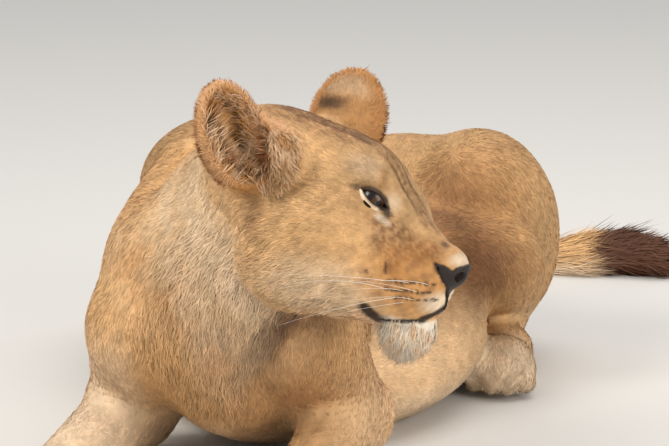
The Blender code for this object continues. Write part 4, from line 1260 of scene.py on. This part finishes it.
def make_coat(skin):
    """The short coat over the whole skin, in pieces by where the roots lie."""
    tuft_length = skin.size * (1.0 - 0.30 * skin.ears)
    tuft_width = np.clip(0.10 * tuft_length, 0.0005, 0.00115)
    weight = np.where(skin.bare, 0.0, 1.0 / (tuft_length * tuft_width) ** 0.85)
    root, normal, way, place, tri = rooted(skin, weight, COAT_ROOTS)
    count = len(root)
    stray = 0.10 * wander(root, 0.012, 5) + 0.12 * wander(root, 0.05, 6)
    stray = stray + rng.normal(0.0, 0.10, count)
    way = unit(way + np.cross(normal, way) * stray[:, None])
    length = tuft_length[tri].mean(1) * np.exp(rng.normal(0.0, 0.18, count))
    width = tuft_width[tri].mean(1) * np.exp(rng.normal(0.0, 0.15, count))
    lift = np.abs(rng.normal(0.085, 0.03, count))
    colour = marked_and_shaded(coat_colour(root, normal), skin.pale[tri].mean(1), skin.dark[tri].mean(1))
    fleck = 0.12 + 0.06 * on_head_share(root)
    colour = colour * np.exp(rng.normal(0.0, 1.0, count) * fleck)[:, None]
    made = []
    for number, part in enumerate(np.array_split(np.argsort(root[:, 1]), COAT_PIECES)):
        made.append(tufts("coat_%d" % (number + 1), root[part], normal[part], way[part],
                          length[part], width[part], lift[part], colour[part], place[part]))
    return made


def long_hair(name, skin, weight, count, length, width, lift, way=None, spread=0.12,
              tint=coat_colour):
    """A piece of longer locks rooted where the weight is, running along the lie or a way given."""
    root, normal, own, place, _ = rooted(skin, weight, count)
    way = own if way is None else way(root, normal, own)
    clump = np.stack([wander(root, 0.014, seed) for seed in (21, 22, 23)], 1)
    way = unit(way + 1.3 * spread * clump + rng.normal(0.0, spread, (count, 3)))
    colour = tint(root, normal) * np.exp(rng.normal(0.0, 0.10, count))[:, None]
    long = length(root) if callable(length) else length
    long = long * np.exp(rng.normal(0.0, 0.16, count))
    rise = np.abs(rng.normal(lift, 0.4 * lift, count))
    return tufts(name, root, normal, way, long, np.full(count, width), rise, colour, place, bends=2,
                 bow=0.16)


def ear_front(skin, clear):
    """Soft tufts before the right ear, falling forward and down from its front edge."""
    ahead, left, up = EARS["right"][0]
    place = in_head(ahead + 0.004, left - 0.010, up + 0.002)
    weight = clear * spot(skin.points, place, (0.026, 0.030, 0.034), 0.5)

    def colour(root, normal):
        ground = all_of(0.35 * CREAM + 0.25 * ORANGE + 0.3 * TAWNY, root)
        return paint(ground, 0.45 + 0.5 * wander(root, 0.008, 33), 0.60 * ORANGE + 0.10 * TAWNY)

    return long_hair("coat_ear_front", skin, weight, 3000, 0.019, 0.0010, 0.16,
                     lambda root, normal, own: unit(head_way(0.60, -0.45, -0.45) + 0.25 * normal),
                     0.13, colour)


def ear_hair(skin, clear, word):
    """Long pale hair across an ear's cup, and short hair off its rim."""
    _, centre, tip_way, open_way = EARS[word]
    middle = in_head(*centre)
    axes = ear_axes(tip_way, open_way)
    e = (skin.points - middle) @ axes.T
    cup = (spot(e, (0, 0, 0), (0.070, 0.050, 0.045), 0.1) * smooth(0.0, 0.006, e[:, 2])
           * spot(e, (-0.006, 0, 0), (0.052, 0.036, 0.2), 0.30) * clear)
    rim = (spot(e, (0, 0, 0), (0.092, 0.072, 0.050), 0.1) * clear
           * (1.0 - spot(e, (0, 0, 0), (0.060, 0.041, 0.2), 0.15))
           * smooth(-0.060, -0.045, e[:, 0]))

    def across_cup(root, normal, own):
        e = (root - middle) @ axes.T
        return unit(0.60 * axes[0] - (np.sign(e[:, 1]) * 0.55)[:, None] * axes[1]
                    + 0.28 * axes[2] + 0.1 * normal)

    def cup_colour(root, normal):
        c = all_of(0.50 * CREAM + 0.40 * ORANGE, root)
        c = paint(c, 0.55 + 0.5 * wander(root, 0.007, 31), ORANGE * 0.62)
        e = (root - middle) @ axes.T
        # the hair over the cup's hollow painted dark: painted shade
        return paint(c, 0.90 * spot(e, (-0.026, 0.002, 0), (0.024, 0.018, 0.04), 0.7), DARK)

    def off_rim(root, normal, own):
        e = (root - middle) @ axes.T
        return unit(e[:, :1] * axes[0] + 1.3 * e[:, 1:2] * axes[1] + 0.035 * axes[0]
                    + 0.012 * normal)

    def rim_colour(root, normal):
        # her left ear's rim hair has less cream than her right's: painted shade on the far ear
        cream = 0.25 if word == "right" else 0.05
        return all_of(0.75 * ORANGE + cream * CREAM, root)

    return [long_hair("coat_ear_" + word, skin, cup, 4600, 0.025, 0.0013, 0.05, across_cup, 0.20,
                      cup_colour),
            long_hair("coat_rim_" + word, skin, rim, 4200, 0.0062, 0.0007, 0.14, off_rim, 0.14,
                      rim_colour)]


def make_long_hair(skin):
    """Beard, jaw fringe, throat ruff, ear hair and the tail's tuft."""
    points = skin.points
    q = to_head(points)
    s = np.abs(q[:, 1])
    head = on_head_share(points)
    clear = np.where(skin.bare | (skin.dark > 0.3), 0.0, 1.0)
    beard = (clear * head * smooth(0.098, 0.112, q[:, 0]) * smooth(-0.118, -0.123, q[:, 2])
             * smooth(0.050, 0.036, s) * (1.0 - lip_share(np.stack([q[:, 0], s, q[:, 2]], 1))))
    jaw = (clear * head * smooth(-0.075, -0.100, q[:, 2]) * smooth(0.085, 0.055, q[:, 0])
           * smooth(-0.12, -0.08, q[:, 0]))
    ruff = clear * (1.0 - head) * spot(points, (0.035, -0.05, 0.24), (0.11, 0.13, 0.12), 0.5)
    ruff = ruff * (1.0 - beyond_crease(points))
    tip = smooth(0.185, 0.235, points[:, 0]) * (points[:, 1] > 1.38)
    path = smooth_path(TUFT_PATH, 6)
    step = unit(np.gradient(path, axis=0))

    def beard_length(root):
        r = to_head(root)
        return 0.009 + 0.017 * spot(r * (1, 1, 0), (0.130, 0, 0), (0.030, 0.04, 1.0), 0.9)

    def beard_colour(root, normal):
        return paint(all_of(0.86 * WHITE, root), 0.3 + 0.4 * wander(root, 0.006, 34), TAWNY)

    def hanging(root, normal, own):
        return unit(0.10 * normal + head_way(-0.06, 0.0, -1.0))

    def back_and_down(root, normal, own):
        return unit(own + head_way(-0.7, 0.0, -0.25))

    def along_tail(root, normal, own):
        near = np.argmin(((root[:, None, :] - path[None]) ** 2).sum(2), 1)
        return unit(step[near] + 0.10 * normal)

    def tuft_length(root):
        return np.clip(0.392 - root[:, 0], 0.016, 0.060)

    made = [long_hair("coat_beard", skin, beard, 5200, beard_length, 0.0009, 0.06, hanging, 0.09,
                      beard_colour),
            long_hair("coat_jaw", skin, jaw, 10000, 0.0125, 0.0009, 0.12, back_and_down, 0.14),
            long_hair("coat_ruff", skin, ruff, 16000, 0.022, 0.0010, 0.11, None, 0.10),
            ear_front(skin, clear * head)]
    for word in EARS:
        made += ear_hair(skin, clear, word)
    made.append(long_hair("coat_tail_tuft", skin, tip, 11000, tuft_length, 0.0017, 0.11,
                          along_tail, 0.05))
    return made


# ---------------------------------------------------------------- eyes, nose, whiskers
EYE_RINGS = 49
EYE_TURNS = 64


def make_eye(side, word):
    """A ball whose surface is a function of the angle from the gaze and the turn around it; the
    clear front swells, and iris, pupil and dark white are bands of that angle.  Iris and white are
    partly their own dark colour, partly painted shade from the upper lid and brow."""
    gaze = head_way(0.80, side * 0.58, -0.10)
    over = unit(np.cross(gaze, (0, 0, 1)))
    up = np.cross(over, gaze)
    angle = np.linspace(0.0, pi, EYE_RINGS)[:, None]
    turn = np.linspace(0.0, 2 * pi, EYE_TURNS, endpoint=False)[None, :]
    radius = EYE_RADIUS * (1.0 + 0.05 * np.exp(-(angle / 0.42) ** 4))
    points = (np.cos(angle) * radius)[..., None] * gaze
    points = points + (np.sin(angle) * radius * np.cos(turn))[..., None] * over
    points = points + (np.sin(angle) * radius * np.sin(turn))[..., None] * up
    points = points.reshape(-1, 3) + eye_place(side)
    angle = np.broadcast_to(angle, (EYE_RINGS, EYE_TURNS)).ravel()
    turn = np.broadcast_to(turn, (EYE_RINGS, EYE_TURNS)).ravel()
    streak = 0.15 * np.sin(turn * 23.0) + 0.1 * np.sin(turn * 41.0 + 1.0)
    # iris and white: partly their own dark colour, partly painted shade from the upper lid and brow
    colour = all_of(tone(22, 17, 15), points)
    colour = paint(colour, smooth(0.66, 0.60, angle), tone(66, 43, 24))
    colour = colour * (1.0 + streak * smooth(0.66, 0.5, angle))[:, None]
    colour = paint(colour, smooth(0.54, 0.64, angle) * smooth(0.74, 0.66, angle), tone(30, 20, 16))
    colour = paint(colour, smooth(0.25, 0.21, angle), tone(8, 7, 7))
    made = new_mesh("eye_" + word + "_glass", points, ring_faces(EYE_RINGS, EYE_TURNS), colour)
    shape = bmesh.new()
    shape.from_mesh(made.data)
    bmesh.ops.remove_doubles(shape, verts=shape.verts, dist=1e-6)
    bmesh.ops.recalc_face_normals(shape, faces=shape.faces)
    shape.to_mesh(made.data)
    shape.free()
    sheet = Sheet("eye_glass")
    made.data.materials.append(sheet.finish(Base_Color=sheet.coat(), Roughness=0.22,
                                            Coat_Weight=0.20, Coat_Roughness=0.05,
                                            Specular_IOR_Level=0.25))
    return made


LEATHER_TOP = ([0.0, 0.013, 0.020, 0.025, 0.029, 0.033, 0.038],
               [-0.036, -0.037, -0.039, -0.045, -0.039, -0.037, -0.041])
LEATHER_HALF = ([-0.098, -0.084, -0.077, -0.066, -0.057, -0.045, -0.036],
                [0.0008, 0.0014, 0.006, 0.020, 0.030, 0.035, 0.034])


def leather_edge(q):
    """How far a place lies outside the nose leather's outline: a broad top dipping between the
    wings, sides closing in to the groove over the lip, and a slanting rear edge."""
    s = np.abs(q[..., 1])
    above = q[..., 2] - np.interp(s, *LEATHER_TOP)
    beside = s - np.interp(q[..., 2], *LEATHER_HALF)
    behind = 0.158 + 0.70 * np.clip(-0.036 - q[..., 2], 0.0, 0.012) - q[..., 0]
    return np.maximum(np.maximum(above, beside), behind)


LEATHER_PROUD = 0.0018
LEATHER_STEP = 0.0013


def make_nose():
    """The leather: the muzzle's own clay a little proud, kept to its outline, nostrils scooped."""
    middle = in_head(0.172, 0.0, -0.056)
    clay = Clay(*[graded(m - 0.047, (m + 0.047, LEATHER_STEP)) for m in middle])
    model_skull(clay)
    model_muzzle(clay)
    edge = leather_edge(to_head(grid(clay.axes)))
    clay.outside = np.maximum(clay.outside - LEATHER_PROUD, edge)
    for side in (-1, 1):
        clay.carve(head_ball((0.194, side * 0.012, -0.051), (0.012, 0.0075, 0.0075)), 0.003)
        clay.carve(head_limb((0.190, side * 0.014, -0.050), (0.163, side * 0.034, -0.043),
                             0.0055, 0.0035), 0.003)
    points, faces = clay.surface()
    made = new_mesh("nose_leather", points, faces)
    sheet = Sheet("leather")
    cobble = sheet.relief(420.0, 2.0, 0.35, 0.0006)
    made.data.materials.append(sheet.finish(Base_Color=(0.021, 0.015, 0.013, 1.0), Roughness=0.50,
                                            Specular_IOR_Level=0.22, Normal=cobble))
    return made


WHISKER_RADIUS = 0.00029
WHISKER_RINGS = 11
WHISKER_SIDES = 5
WHISKER_EACH = 3             # every third spot bears a whisker


def make_whiskers(clay, side, word):
    """Stiff hairs from the whisker rows: each a taper along root + L (d t + sag t^2)."""
    points = []
    faces = []
    t = np.linspace(0.0, 1.0, WHISKER_RINGS)[:, None]
    turn = np.linspace(0.0, 2.0 * pi, WHISKER_SIDES, endpoint=False)[None, :, None]
    shape = np.roll(ring_faces(WHISKER_RINGS, WHISKER_SIDES)[:, ::-1], 1, axis=1)
    for up, back, front, count in WHISKER_ROWS:
        for forward in np.linspace(back, front, count)[::WHISKER_EACH]:
            reach = np.linspace(0.085, 0.0, 86)
            line = np.array([in_head(forward, side * v, row_level(up, forward)) for v in reach])
            inside = clay.outside_at(line) < 0.0
            root = line[np.argmax(inside)]
            way = head_way(-0.74 + rng.normal(0, 0.10), side * 0.66, 0.12 + 4.0 * (up + 0.078)
                           + rng.normal(0, 0.13))
            sag = head_way(-0.5, side * -0.20, -0.42 + rng.normal(0, 0.12))
            long = rng.uniform(0.060, 0.125) * (1.0 - 2.2 * (forward - back))
            line = root - 0.002 * way + long * (way * t + 0.55 * sag * t * t)
            across = unit(np.cross(way, sag))
            over = np.cross(way, across)
            radius = WHISKER_RADIUS * (1.0 - 0.85 * t[:, :, None])
            ring = line[:, None, :] + radius * (np.cos(turn) * across + np.sin(turn) * over)
            faces.append(shape + len(points) * WHISKER_RINGS * WHISKER_SIDES)
            points.append(ring.reshape(-1, 3))
    made = new_mesh("whiskers_" + word, np.concatenate(points), np.concatenate(faces))
    made.data.materials.append(plain("whisker", (0.80, 0.76, 0.68), 0.4))
    return made


# ---------------------------------------------------------------- stage
# each light: where it stands, how wide it is and how strong
LIGHTS = {"key": ((-2.6, -3.2, 3.4), 2.2, 165.0), "top": ((0.6, 0.8, 3.6), 3.0, 80.0),
          "fill": ((3.6, -2.8, 1.5), 3.0, 135.0)}
LIGHT_AIM = (0.05, -0.4, 0.25)
CAMERA_AIM = (0.160, 0.050, 0.385)
CAMERA_TURN = radians(12.0)
CAMERA_RISE = radians(12.0)
CAMERA_AWAY = 7.5


def make_stage():
    """A pale floor, soft light from above and her right, and the camera."""
    bpy.ops.mesh.primitive_plane_add(size=60.0, location=(0, 0, 0))
    floor = bpy.context.object
    floor.name = "floor"
    floor.data.materials.append(plain("pale_floor", (0.62, 0.60, 0.57), 0.9))
    world = bpy.data.worlds.new("studio")
    bpy.context.scene.world = world
    world.use_nodes = True
    back = world.node_tree.nodes["Background"]
    back.inputs["Color"].default_value = (0.93, 0.96, 1.0, 1.0)
    back.inputs["Strength"].default_value = 0.60
    for name, (place, size, power) in LIGHTS.items():
        light = bpy.data.lights.new(name, "AREA")
        light.size = size
        light.energy = power
        light.color = (1.0, 0.965, 0.91)
        lamp = bpy.data.objects.new(name, light)
        bpy.context.scene.collection.objects.link(lamp)
        lamp.location = place
        way = Vector(LIGHT_AIM) - Vector(place)
        lamp.rotation_euler = way.to_track_quat("-Z", "Y").to_euler()
    bpy.context.scene.view_settings.view_transform = "Standard"
    lens = bpy.data.cameras.new("camera")
    lens.lens = 300.0
    lens.sensor_width = 36.0
    lens.clip_end = 100.0
    camera = bpy.data.objects.new("camera", lens)
    bpy.context.scene.collection.objects.link(camera)
    back = Vector((sin(CAMERA_TURN) * cos(CAMERA_RISE), -cos(CAMERA_TURN) * cos(CAMERA_RISE),
                   sin(CAMERA_RISE)))
    camera.location = Vector(CAMERA_AIM) + Vector(ROOT) + CAMERA_AWAY * back
    camera.rotation_euler = (-back).to_track_quat("-Z", "Y").to_euler()
    bpy.context.scene.camera = camera


# ---------------------------------------------------------------- put together
skin, head = make_skin()
hide = new_mesh("skin", skin.points, skin.faces,
                marked_and_shaded(coat_colour(skin.points, skin.out), skin.pale, skin.dark))
hide.data.materials.append(skin_material())
skin.uv = own_unwrap(hide)
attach(hide, "root")
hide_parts(*[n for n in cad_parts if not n.startswith("eye_") and n != "nose"])
hair = coat_material()
coat = make_coat(skin) + make_long_hair(skin)
for piece in coat:
    piece.data.materials.append(hair)
    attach(piece, "root")
nose = make_nose()
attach(nose, "root")
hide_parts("nose")
for side, word in ((-1, "right"), (1, "left")):
    eye = make_eye(side, word)
    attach(eye, "root")
    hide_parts("eye_" + word)
    whiskers = make_whiskers(head, side, word)
    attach(whiskers, "root")
make_stage()
